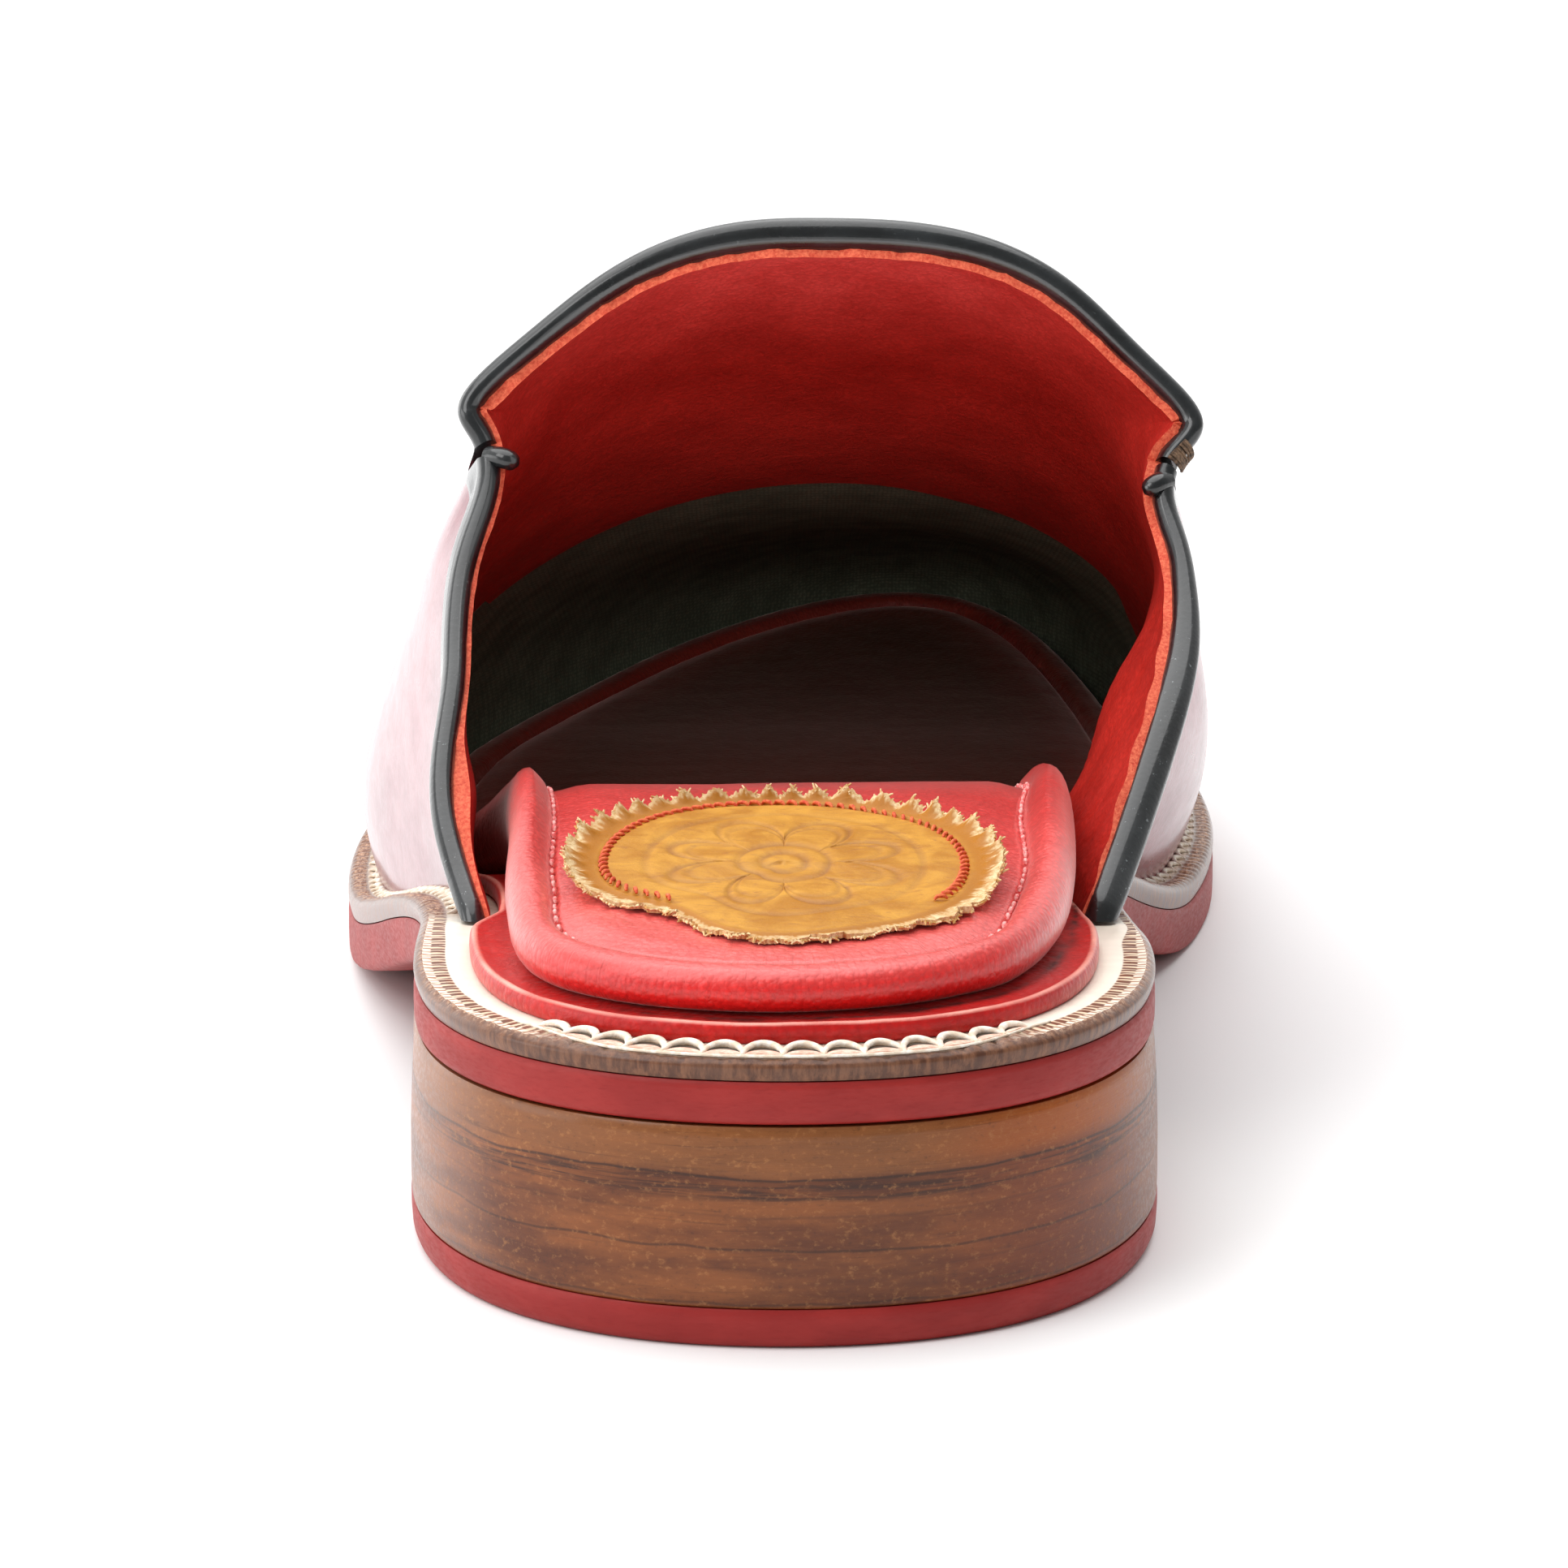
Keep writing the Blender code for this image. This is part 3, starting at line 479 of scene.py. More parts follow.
class Nodes:
    """A node tree, with short names for the nodes that it uses. Sizes are in millimetres."""

    def __init__(self, tree, shader):
        self.tree = tree
        self.shader = tree.nodes[shader]
        self.place = self.node("TexCoord").outputs["Object"]

    def node(self, kind, **settings):
        made = self.tree.nodes.new("ShaderNode" + kind)
        for key, value in settings.items():
            setattr(made, key, value)
        return made

    def put(self, socket, value):
        """Links an output to the socket, or sets its value. Three numbers are a display colour."""
        if isinstance(value, bpy.types.NodeSocket):
            self.tree.links.new(value, socket)
        elif isinstance(value, tuple) and socket.type == "RGBA" and len(value) == 3:
            socket.default_value = srgb(*value)
        else:
            socket.default_value = value

    def fill(self, node, **sockets):
        for name, value in sockets.items():
            self.put(node.inputs[name.replace("_", " ")], value)

    def math(self, operation, a, b=0):
        made = self.node("Math", operation=operation)
        self.put(made.inputs[0], a)
        self.put(made.inputs[1], b)
        return made.outputs[0]

    def times(self, a, b):
        return self.math("MULTIPLY", a, b)

    def stretched(self, stretch):
        """The place on the object, scaled by stretch if there is one."""
        if not stretch:
            return self.place
        made = self.node("Mapping")
        self.fill(made, Vector=self.place, Scale=stretch)
        return made.outputs["Vector"]

    def noise(self, size, detail=3, roughness=0.55, distortion=0, stretch=None):
        made = self.node("TexNoise")
        self.fill(made, Vector=self.stretched(stretch), Scale=1000 / size, Detail=detail, Roughness=roughness,
                  Distortion=distortion)
        return made.outputs["Fac"]

    def cells(self, size, stretch=None, randomness=1):
        made = self.node("TexVoronoi")
        self.fill(made, Vector=self.stretched(stretch), Scale=1000 / size, Randomness=randomness)
        return made.outputs["Distance"]

    def mark(self, name):
        return self.node("Attribute", attribute_name=name).outputs["Fac"]

    def waves(self, value, pitch, width):
        """1 on a stripe of that share of the pitch, 0 between the stripes."""
        part = self.math("FRACT", self.math("DIVIDE", value, pitch))
        away = self.math("ABSOLUTE", self.math("SUBTRACT", part, 0.5))
        return self.spread(away, 0.5 * width - 0.08, 0.5 * width + 0.08, 1, 0)

    def along(self, axis):
        """Place along an axis of the object, in millimetres."""
        split = self.node("SeparateXYZ")
        self.put(split.inputs[0], self.place)
        return self.times(split.outputs[axis], 1000)

    def spread(self, value, low, high, new_low=0, new_high=1):
        """A smooth step of value, from new_low at low to new_high at high."""
        made = self.node("MapRange", interpolation_type="SMOOTHSTEP")
        self.fill(made, Value=value, From_Min=low, From_Max=high, To_Min=new_low, To_Max=new_high)
        return made.outputs["Result"]

    def mix(self, share, a, b):
        made = self.node("Mix", data_type="RGBA")
        self.put(made.inputs[0], share)
        self.put(made.inputs[6], a)
        self.put(made.inputs[7], b)
        return made.outputs[2]

    def blend(self, value, low, high, a, b):
        """From a where value is low to b where it is high."""
        return self.mix(self.spread(value, low, high), a, b)

    def bump(self, *layers):
        """Bumps of (height, depth in millimetres), one on another, on the shader's normal."""
        normal = None
        for value, depth in layers:
            made = self.node("Bump")
            self.fill(made, Distance=depth * MM, Strength=1, Height=value)
            if normal is not None:
                self.fill(made, Normal=normal)
            normal = made.outputs["Normal"]
        self.fill(self.shader, Normal=normal)

    def colour(self, value):
        self.shown = value
        self.fill(self.shader, Base_Color=value)

    def over(self, share, value):
        """That colour over what is shown so far, by share."""
        self.colour(self.mix(share, self.shown, value))

    def rough(self, value):
        self.fill(self.shader, Roughness=value)


class Paint(Nodes):
    """One material and its nodes."""

    def __init__(self, name, **sockets):
        self.material = bpy.data.materials.new(name)
        self.material.use_nodes = True
        super().__init__(self.material.node_tree, "Principled BSDF")
        self.fill(self.shader, **sockets)


def add_object(name, data, place=(0, 0, 0), turn=(0, 0, 0)):
    """An object of that data in the scene."""
    made = bpy.data.objects.new(name, data)
    made.location, made.rotation_euler = place, turn
    bpy.context.scene.collection.objects.link(made)
    return made


def add_piece(name, points, faces, paints, slot, stands_for=(), marks=None, kinds=None, sharp=40):
    """Adds a closed mesh in millimetres as a piece that rides on the one body."""
    mesh = bpy.data.meshes.new(name)
    shifted = (np.asarray(points, float) + SHIFT) * MM
    mesh.from_pydata(shifted.tolist(), [], [tuple(int(i) for i in f) for f in faces])
    if kinds is not None:
        mesh.polygons.foreach_set("material_index", np.asarray(kinds, np.int32))
    for key, values in (marks or {}).items():
        layer = mesh.attributes.new(key, "FLOAT", "POINT")
        layer.data.foreach_set("value", np.asarray(values, np.float32))
    for paint in paints:
        mesh.materials.append(paint.material)
    work = bmesh.new()
    work.from_mesh(mesh)
    bmesh.ops.recalc_face_normals(work, faces=work.faces)
    work.to_mesh(mesh)
    work.free()
    mesh.polygons.foreach_set("use_smooth", np.ones(len(mesh.polygons), bool))
    mesh.set_sharp_from_angle(angle=np.radians(sharp))
    made = add_object(name, mesh)
    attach(made, ROOT)
    if stands_for:
        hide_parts(*stands_for)
    return made


def grain(points, size, seed=0):
    """Smooth noise of about that size in millimetres, from -1 to 1, at each point."""
    flat = np.asarray(points, float).reshape(-1, 3) / size + seed
    values = [noise.noise(Vector(p)) for p in flat.tolist()]
    return np.array(values).reshape(np.asarray(points).shape[:-1])


class Batch:
    """Many small closed tubes gathered into one mesh."""

    def __init__(self):
        self.points = []
        self.faces = []
        self.count = 0

    def add(self, rings):
        """A closed tube through the rings."""
        rows, count = rings.shape[:2]
        self.faces += tube_faces(self.count, rows, count)
        self.points.append(rings.reshape(-1, 3))
        self.count += rows * count

    def tube(self, path, radius, up, sides=6, flat=1):
        """A tube along path with a radius per point. flat squashes it along up."""
        along = unit(np.gradient(path, axis=0))
        side = unit(np.cross(along, up))
        top = np.cross(side, along)
        turn = 2 * np.pi * np.arange(sides) / sides
        radius = np.broadcast_to(radius, len(path))[:, None, None]
        turn = turn[:, None]
        around = side[:, None] * np.cos(turn) + flat * top[:, None] * np.sin(turn)
        self.add(path[:, None] + radius * around)

    def stitch(self, centre, along, up, length, radius):
        """One thread stitch, low at both ends."""
        share = np.linspace(-1, 1, 6)
        rise = radius * (0.6 - 1.5 * share**4)
        path = centre + along * (share * length / 2)[:, None] + up * rise[:, None]
        self.tube(path, radius * (1 - 0.35 * share**4), up)

    def piece(self, name, paints, slot, **more):
        return add_piece(name, np.concatenate(self.points), self.faces, paints, slot, sharp=70, **more)


def red_rubber():
    p = Paint("red_rubber", Roughness=0.5, Specular_IOR_Level=0.3)
    tone = p.noise(9, 4, 0.6, stretch=(1, 1, 2.5))
    fine = p.noise(0.5, 3, 0.6, stretch=(0.4, 0.4, 1.6))
    p.colour(p.blend(tone, 0.35, 0.7, (142, 31, 28), (156, 40, 36)))
    p.over(p.spread(fine, 0.5, 0.8, 0, 0.35), (116, 22, 22))
    p.rough(p.spread(fine, 0.3, 0.7, 0.42, 0.56))
    p.bump((fine, 0.02), (p.noise(3, 3), 0.05))
    return p


def stacked_leather():
    """Polished heel leather: horizontal layers, dark streaks and a warmer corner, with painted shade on the
    inner side of the back and a painted reflection that pales the outer side.
    """
    p = Paint("stacked_leather", Coat_Weight=0.3, Coat_Roughness=0.2, Specular_IOR_Level=0.2)
    sway = p.noise(14, 2)
    z = p.math("ADD", p.along("Z"), p.times(p.math("SUBTRACT", sway, 0.5), 1.8))
    cloud = p.noise(6, 5, 0.62, stretch=(0.3, 0.3, 1.5))
    grainy = p.noise(0.55, 3, 0.7, stretch=(0.7, 0.7, 1))
    lines = p.noise(0.8, 4, 0.7, 0.6, stretch=(0.05, 0.05, 1.4))
    p.colour(p.blend(cloud, 0.35, 0.68, (88, 44, 22), (134, 76, 36)))
    upper_layer = p.spread(z, 15.6, 16.6)
    p.over(p.times(upper_layer, 0.55), (138, 86, 46))
    side = p.spread(p.math("ADD", p.along("X"), p.times(sway, 9)), 14, 30)
    # Painted shade: the base is darkened on the inner side of the back, where the glare would pale it.
    p.over(p.times(p.times(side, p.mark("rear")), 0.6), (120, 52, 20))
    warm = p.times(p.times(side, p.mark("rear")), p.spread(z, 15.8, 17.6))
    p.over(p.times(warm, 0.75), (164, 82, 16))
    band = p.times(p.spread(z, 13.2, 14.4), p.spread(z, 15.3, 16.2, 1, 0))
    streak = p.times(band, p.spread(lines, 0.42, 0.6))
    p.over(p.times(streak, 0.85), (52, 27, 18))
    p.over(p.times(p.spread(lines, 0.58, 0.72), 0.45), (60, 32, 20))
    for level, depth in ((9.3, 0.6), (15.9, 0.75), (4.4, 0.5), (12.4, 0.22)):
        near = p.math("ABSOLUTE", p.math("SUBTRACT", z, level))
        p.over(p.spread(near, 0.03, 0.2, depth, 0), (42, 22, 15))
    p.over(p.spread(grainy, 0.52, 0.75, 0, 0.4), (178, 122, 72))
    p.over(p.spread(grainy, 0.25, 0.42, 0.4, 0), (52, 28, 17))
    # Painted reflection: the pale mark lightens the outer side towards a whitish glare.
    p.over(p.times(p.mark("pale"), 0.4), (214, 176, 158))
    p.rough(p.spread(grainy, 0.3, 0.7, 0.28, 0.46))
    p.bump((lines, 0.05), (grainy, 0.03))
    return p


def welt_leather():
    """Brown side with upright fibres, a tan ribbed top, and a pale band where the cream mark says so."""
    p = Paint("welt_leather", Specular_IOR_Level=0.2, Coat_Weight=1, Coat_IOR=1.3, Coat_Roughness=0.25)
    fibre = p.noise(0.7, 4, 0.65, stretch=(1, 1, 0.22))
    cloud = p.noise(5, 3)
    brown = p.blend(fibre, 0.35, 0.7, (80, 46, 30), (130, 86, 60))
    brown = p.mix(p.spread(cloud, 0.4, 0.7, 0, 0.5), brown, (104, 72, 56))
    pale = p.blend(p.noise(0.6, 3), 0.35, 0.7, (214, 190, 168), (246, 234, 218))
    speck = p.spread(p.noise(0.45, 3, 0.7), 0.45, 0.62)
    tan = p.mix(speck, (132, 84, 56), (210, 166, 132))
    side = p.mix(p.times(p.mark("tan"), p.mark("ribbed")), brown, tan)
    p.colour(p.mix(p.mark("cream"), side, pale))
    p.over(p.mark("groove"), (70, 42, 28))
    banded = p.mix(p.waves(p.math("ADD", p.mark("along"), p.times(p.mark("across"), 2.4)), 0.75, 0.45),
                   (252, 240, 218), (170, 122, 92))
    ticks = p.mix(p.waves(p.mark("along"), 1.05, 0.62), (240, 216, 184), (112, 66, 42))
    banded = p.blend(p.mark("across"), 0.29, 0.33, banded, ticks)
    banded = p.blend(p.mark("across"), 0.55, 0.59, banded, (255, 249, 232))
    on_top = p.times(p.mark("band"), p.spread(p.mark("across"), 0, 0.06))
    p.over(on_top, banded)
    p.rough(p.spread(fibre, 0.3, 0.7, 0.45, 0.62))
    p.bump((fibre, 0.06), (p.noise(0.25, 2), 0.015))
    return p


def patch_fibre():
    """Loose pale fibres on the patch's cut edge."""
    p = Paint("patch_fibre", Roughness=0.8, Specular_IOR_Level=0.2)
    p.colour(p.blend(p.noise(0.9, 3), 0.35, 0.65, (196, 148, 84), (246, 222, 176)))
    p.bump((p.noise(0.2, 2), 0.03))
    return p


def cream_cord():
    p = Paint("cream_cord", Roughness=0.6)
    p.colour(p.blend(p.noise(0.9, 4), 0.35, 0.7, (226, 206, 182), (252, 246, 234)))
    p.bump((p.noise(0.2, 3), 0.04))
    return p


def scale_pink():
    """Pinkish fill under each scallop, with a painted shadow line where it meets the cord."""
    p = Paint("scale_pink", Roughness=0.65, Specular_IOR_Level=0.3)
    cloud = p.noise(0.8, 4, 0.7)
    p.colour(p.blend(cloud, 0.35, 0.7, (226, 172, 150), (252, 226, 208)))
    # Painted shadow under the cord's crown.
    p.over(p.mark("dark"), (74, 62, 50))
    p.bump((cloud, 0.06))
    return p


def red_leather(name, deep, bright, roughness, coat, sheen, grain_size=0.75, grain_depth=0.07):
    """Dyed leather with pores, soft wrinkles and a mottled tone. Its marks paint light and shade: lighter
    painted light on top faces, brown painted shade deep in the shoe, a painted highlight line on the rim, and
    a dark line under the padding that is partly adhesive and partly painted shade.
    """
    p = Paint(name, Coat_Weight=coat, Coat_Roughness=0.3, Specular_IOR_Level=0.3, Sheen_Weight=sheen,
              Sheen_Roughness=0.3, Sheen_Tint=srgb(255, 224, 218))
    cloud = p.noise(11, 4, 0.6)
    pores = p.cells(grain_size)
    wrinkles = p.noise(2.6, 4, 0.6, 0.8)
    fine = p.noise(0.45, 3, 0.65)
    p.colour(p.blend(cloud, 0.32, 0.7, deep, bright))
    # Painted light: top lightens the padding's upper faces and the lining near the collar.
    p.over(p.mark("top"), p.blend(cloud, 0.32, 0.7, (230, 80, 76), (248, 102, 98)))
    dark = (deep[0] * 0.5, deep[1] * 0.45, deep[2] * 0.45, 1)
    p.over(p.spread(pores, 0.25, 0.62, 0, 0.25), dark)
    p.over(p.spread(fine, 0.5, 0.72, 0, 0.18), dark)
    # Painted shade: front browns the padding deep inside the throat.
    p.over(p.times(p.mark("front"), 0.9), (78, 54, 36))
    # Painted highlight along the rim's top edge.
    p.over(p.times(p.mark("painted_bead_highlight"), 0.85), (255, 178, 160))
    # Dark line: partly adhesive, partly painted shade under the padding's roll and in the hole beside it.
    p.over(p.mark("glue_and_shade"), (40, 12, 9))
    p.rough(p.spread(wrinkles, 0.3, 0.7, roughness - 0.05, roughness + 0.07))
    join = p.node("CombineXYZ")
    p.put(join.inputs[0], p.times(p.mark("along"), 1.3))
    folds = p.node("TexNoise")
    p.fill(folds, Vector=join.outputs[0], Scale=1, Detail=2)
    pleat = p.times(p.mark("pleat"), folds.outputs["Fac"])
    p.bump((wrinkles, 0.2), (pleat, 0.2), (p.times(pores, -1), grain_depth), (fine, 0.03))
    return p


def rose_leather():
    """Polished upper leather with a hand-rubbed tone, darker towards the edges of the vamp: a burnished tone
    at the toe and by the seam, and painted shade along the feather line where the upper meets the welt.
    """
    p = Paint("rose_leather", Coat_Weight=0.65, Coat_Roughness=0.12, Specular_IOR_Level=0.45)
    cloud = p.noise(26, 4, 0.62, 0.5)
    rub = p.noise(5, 5, 0.7, 0.3, stretch=(1, 0.45, 1))
    pores = p.cells(0.6)
    p.colour(p.blend(cloud, 0.35, 0.68, (140, 52, 68), (176, 84, 98)))
    p.over(p.spread(rub, 0.45, 0.75, 0, 0.45), (116, 40, 58))
    # Darker tone: burnishing at the toe and seam, painted shade along the feather line.
    p.over(p.times(p.mark("burnish_and_shade"), 0.7), (88, 28, 44))
    p.over(p.spread(pores, 0.3, 0.62, 0, 0.12), (70, 20, 34))
    p.rough(p.spread(rub, 0.3, 0.7, 0.27, 0.37))
    p.bump((p.noise(3.4, 4, 0.6, 0.6), 0.07), (p.times(pores, -1), 0.018))
    return p


def black_leather():
    p = Paint("black_leather", Coat_Weight=0.8, Coat_Roughness=0.1, Specular_IOR_Level=0.3)
    cloud = p.noise(6, 4)
    pores = p.cells(0.5)
    scuff = p.spread(p.noise(0.7, 4, 0.75), 0.62, 0.74)
    p.colour(p.blend(cloud, 0.35, 0.7, (12, 15, 16), (26, 30, 32)))
    # Pale flecks: partly scuffs, partly painted glints, most of them near the foot of each binding.
    scuffs_and_glints = p.times(scuff, p.mark("scuffs_and_glints"))
    p.over(p.times(scuffs_and_glints, 0.8), (150, 158, 160))
    p.rough(p.spread(cloud, 0.3, 0.7, 0.26, 0.38))
    p.bump((p.noise(1.8, 4, 0.6, 0.5), 0.07), (p.times(pores, -1), 0.02))
    return p


def toe_cloth():
    """Dark woven lining of the toe."""
    p = Paint("toe_cloth", Roughness=0.85, Specular_IOR_Level=0.1)
    weave = p.cells(0.55, (1, 1, 1), 0.35)
    p.colour(p.blend(p.noise(7, 3), 0.3, 0.7, (104, 109, 90), (128, 134, 112)))
    p.over(p.spread(weave, 0.2, 0.6, 0, 0.5), (70, 74, 60))
    p.bump((p.times(weave, -1), 0.09), (p.noise(4, 3), 0.2))
    return p


def raw_edge():
    """Cut edge of the lining leather, paler than its face."""
    p = Paint("raw_edge", Roughness=0.75)
    fibre = p.noise(0.4, 4, 0.7)
    p.colour(p.blend(fibre, 0.3, 0.7, (205, 62, 38), (245, 120, 84)))
    p.bump((fibre, 0.1))
    return p


def ochre_leather():
    """Vegetable-tanned patch: mottled ochre, a blind stamp, and a pale pinked rim."""
    p = Paint("ochre_leather", Coat_Weight=0.1, Coat_Roughness=0.4, Specular_IOR_Level=0.3)
    cloud = p.noise(6, 5, 0.65, 0.8)
    swirl = p.noise(2.2, 5, 0.7, 2.2, stretch=(0.45, 1.2, 1))
    p.colour(p.blend(cloud, 0.32, 0.7, (182, 122, 36), (212, 154, 56)))
    p.over(p.spread(swirl, 0.52, 0.7, 0, 0.6), (164, 106, 50))
    p.over(p.times(p.mark("stamp"), 0.62), (142, 94, 58))
    p.over(p.mark("rim"), (176, 112, 20))
    fuzz = p.noise(0.5, 4, 0.7)
    pale = p.blend(fuzz, 0.3, 0.7, (196, 150, 84), (246, 224, 178))
    p.over(p.mark("tooth"), pale)
    p.rough(p.spread(cloud, 0.3, 0.7, 0.42, 0.6))
    p.bump((swirl, 0.1), (fuzz, 0.05))
    return p


def thread(name, dark, light):
    p = Paint(name, Roughness=0.65)
    twist = p.noise(0.35, 2, stretch=(1, 0.4, 1))
    p.colour(p.blend(twist, 0.35, 0.65, dark, light))
    p.bump((twist, 0.04))
    return p


def tack_thread():
    p = Paint("bar_tack_thread", Roughness=0.6)
    p.colour(p.blend(p.noise(0.4, 3), 0.35, 0.65, (70, 52, 38), (128, 100, 76)))
    p.bump((p.noise(0.25, 2), 0.05))
    return p


RED_RUBBER = red_rubber()
STACKED = stacked_leather()
WELT = welt_leather()
CREAM = cream_cord()
FIBRE = patch_fibre()
SCALE_PINK = scale_pink()
PAD_RED = red_leather("pad_leather", srgb(212, 14, 12), srgb(236, 26, 22), 0.34, 0.75, 0.4, 0.62, 0.13)
INSOLE_RED = red_leather("insole_leather", srgb(184, 14, 12), srgb(208, 26, 20), 0.38, 0.2, 0.15)
LINING_RED = red_leather("lining_leather", srgb(176, 38, 30), srgb(200, 48, 38), 0.46, 0.1, 0, 0.6, 0.03)
ROSE = rose_leather()
BLACK = black_leather()
TOE = toe_cloth()
RAW = raw_edge()
OCHRE = ochre_leather()
PINK_THREAD = thread("pad_thread", (226, 96, 96), (252, 196, 190))
RED_THREAD = thread("patch_thread", (206, 66, 34), (238, 118, 66))
TACK = tack_thread()
CAP_POINTS = 33
SOLE_FINE = 240
PAD_FINE = 500


def fixed(value):
    return lambda x, y: value + 0 * np.asarray(x, float)


def between(low, high, share):
    return lambda x, y: low(x, y) + (high(x, y) - low(x, y)) * share


def make_soles():
    """Outsole, heel block and top lift with rounded edges."""
    outsole = [
        (1.1, bottom), (0.4, raised(bottom, 0.12)), (0.1, raised(bottom, 0.4)), (0, raised(bottom, 0.9)),
        (-0.03, between(bottom, sole_top, 0.5)), (0, raised(sole_top, -0.7)), (0.06, raised(sole_top, -0.25)),
        (0.3, sole_top),
    ]
    points, faces, _ = slab_mesh(outsole, SOLE_FINE)
    add_piece("outsole_rubber", points, faces, [RED_RUBBER], "red_rubber", ["outsole"])
    low = fixed(LIFT_THICK + 0.08)
    high = raised(bottom, -0.12)
    block = [
        (-0.3, low), (-0.52, between(low, high, 0.02)), (-0.56, between(low, high, 0.12)),
        (-0.5, between(low, high, 0.4)), (-0.3, between(low, high, 0.7)), (0, between(low, high, 0.94)),
        (0.12, between(low, high, 0.985)), (0.3, high),
    ]
    points, faces, _ = slab_mesh(block, SOLE_FINE // 3, BREAST_Y)
    # pale: painted reflection along the outer side of the block, strongest at the back.
    pale = (1 - ramp(points[:, 0], -39, -24)) * (0.75 + 0.4 * grain(points, 7))
    rear = 1 - ramp(points[:, 1], 12, 34)
    marks = {"pale": pale * (0.25 + 0.75 * rear), "rear": rear}
    add_piece("heel_stack", points, faces, [STACKED], "stacked_leather", ["heel_block"], marks)
    lift = [
        (0.5, fixed(0)), (0.05, fixed(0.15)), (-0.25, fixed(0.5)), (-0.5, fixed(1.1)), (-0.58, fixed(2.4)),
        (-0.58, fixed(LIFT_THICK - 0.25)), (-0.4, fixed(LIFT_THICK)),
    ]
    points, faces, _ = slab_mesh(lift, SOLE_FINE // 3, BREAST_Y)
    add_piece("heel_lift", points, faces, [RED_RUBBER], "red_rubber", ["top_lift"])


SCALLOP_PITCH = 3.7
PATH = lengths(EDGE)
AROUND = PATH[-1] + np.linalg.norm(EDGE[0] - EDGE[-1])
SCALLOPS = int(round(AROUND / SCALLOP_PITCH))
RIBS = 2 * SCALLOPS
BAND_START = 8.5
BAND_END = 56
BAND_PATH = 29


def shelf(x, y):
    """Width of the welt that shows outside the insole's rim or the upper."""
    rim = RIM_OFFSET + (RIM_SIDE - RIM_OFFSET) * ramp(y, 5, 35)
    return rim + (feather_offset(x, y) + 0.3 - rim) * ramp(y, 40, 50)


def scallop_foot(y):
    """Share of the shelf outside the scallops: little at the back of the heel, half along its sides."""
    return 0.13 + 0.4 * ramp(y, 2, 9)


def edge_at(path):
    """Spot on the sole's edge and the inward direction there, for places along the edge."""
    spot = np.stack([np.interp(path, PATH, EDGE[:, i], period=AROUND) for i in (0, 1)], -1)
    inward = unit(np.stack([np.interp(path, PATH, INWARD[:, i], period=AROUND) for i in (0, 1)], -1))
    return spot, inward


def make_welt():
    """Welt with a ribbed outer half and a pale inner half that carries the scallops."""
    x, y = EDGE[:, 0], EDGE[:, 1]
    none = 0 * x
    width = shelf(x, y)
    foot = scallop_foot(y)
    rib = np.abs(np.sin(np.pi * PATH / AROUND * RIBS)) ** 0.7
    worn = 0.12 * grain(np.column_stack([EDGE, none]), 2.2)
    profile = [
        # in from the edge, share of the shelf's width, height above the welt's top, share of the ribs
        (0.3, 0, None, 0), (0.04, 0, 0.4, 0), (0, 0, 0.62, 0), (0.03, 0, 0.8, 0),
        (0.3, 0, -0.34, 0.1), (0.62, 0, -0.08, 0.5), (0.9, 0, 0.04, 0.9), (0, 0.28, 0.1, 1),
        (0, 0.36, 0.12, 1), (0, 0.44, 0.12, 0.9), (0, 0.5, 0.1, 0.6), (0, 0.56, 0.06, 0.1),
        (0, 0.66, 0.1, 0), (0, 0.8, 0.08, 0), (0, 0.92, 0.04, 0), (0, 1, 0, 0),
        (0, 1.25, 0, 0),
    ]
    low = raised(welt_low, -0.12)
    band = ramp(y, 5, 10) * (1 - ramp(y, 50, 62))
    rows = []
    for inset, share, height, ribs in profile:
        offset = inset + share * width
        flat = EDGE + INWARD * offset[:, None]
        top = welt_top(flat[:, 0], flat[:, 1])
        base = low(flat[:, 0], flat[:, 1])
        if height is None:
            z = base
        elif share == 0 and inset < 0.1:
            z = base + (top - base) * height * 0.9
        else:
            z = top + height + worn * (0.4 + ribs)
        at = offset / width
        ribbed = ribs * np.clip((foot + 0.06 - at) / 0.06, 0, 1)
        z = z - 0.34 * ribbed * (1 - rib) * (1 - 0.6 * band)
        on_top = share > 0 or inset > 0.8
        cream = np.clip((at - foot - 0.01) / 0.05, 0, 1) if on_top else none
        groove = ribbed * np.clip(1 - rib * 2.2, 0, 1)
        rows.append((np.column_stack([flat, z]), cream, groove, ribbed, at if on_top else none - 1))
    flat = EDGE + INWARD * WELT_INSIDE
    for level in (welt_top, low):
        rows.append((np.column_stack([flat, level(flat[:, 0], flat[:, 1])]), none, none, none, none + 2))
    count = len(EDGE)
    faces = []
    for k in range(len(rows)):
        faces += wall_faces(k * count, ((k + 1) % len(rows)) * count, count)
    points, *values = [np.concatenate(part) for part in zip(*rows)]
    marks = dict(zip(("cream", "groove", "ribbed", "across"), values))
    for name, value in (("tan", ramp(y, 2, 12)), ("band", band), ("along", np.minimum(PATH, AROUND - PATH))):
        marks[name] = np.tile(value, len(rows))
    add_piece("welt_strip", points, faces, [WELT], "welt_leather", ["welt"], marks, sharp=60)


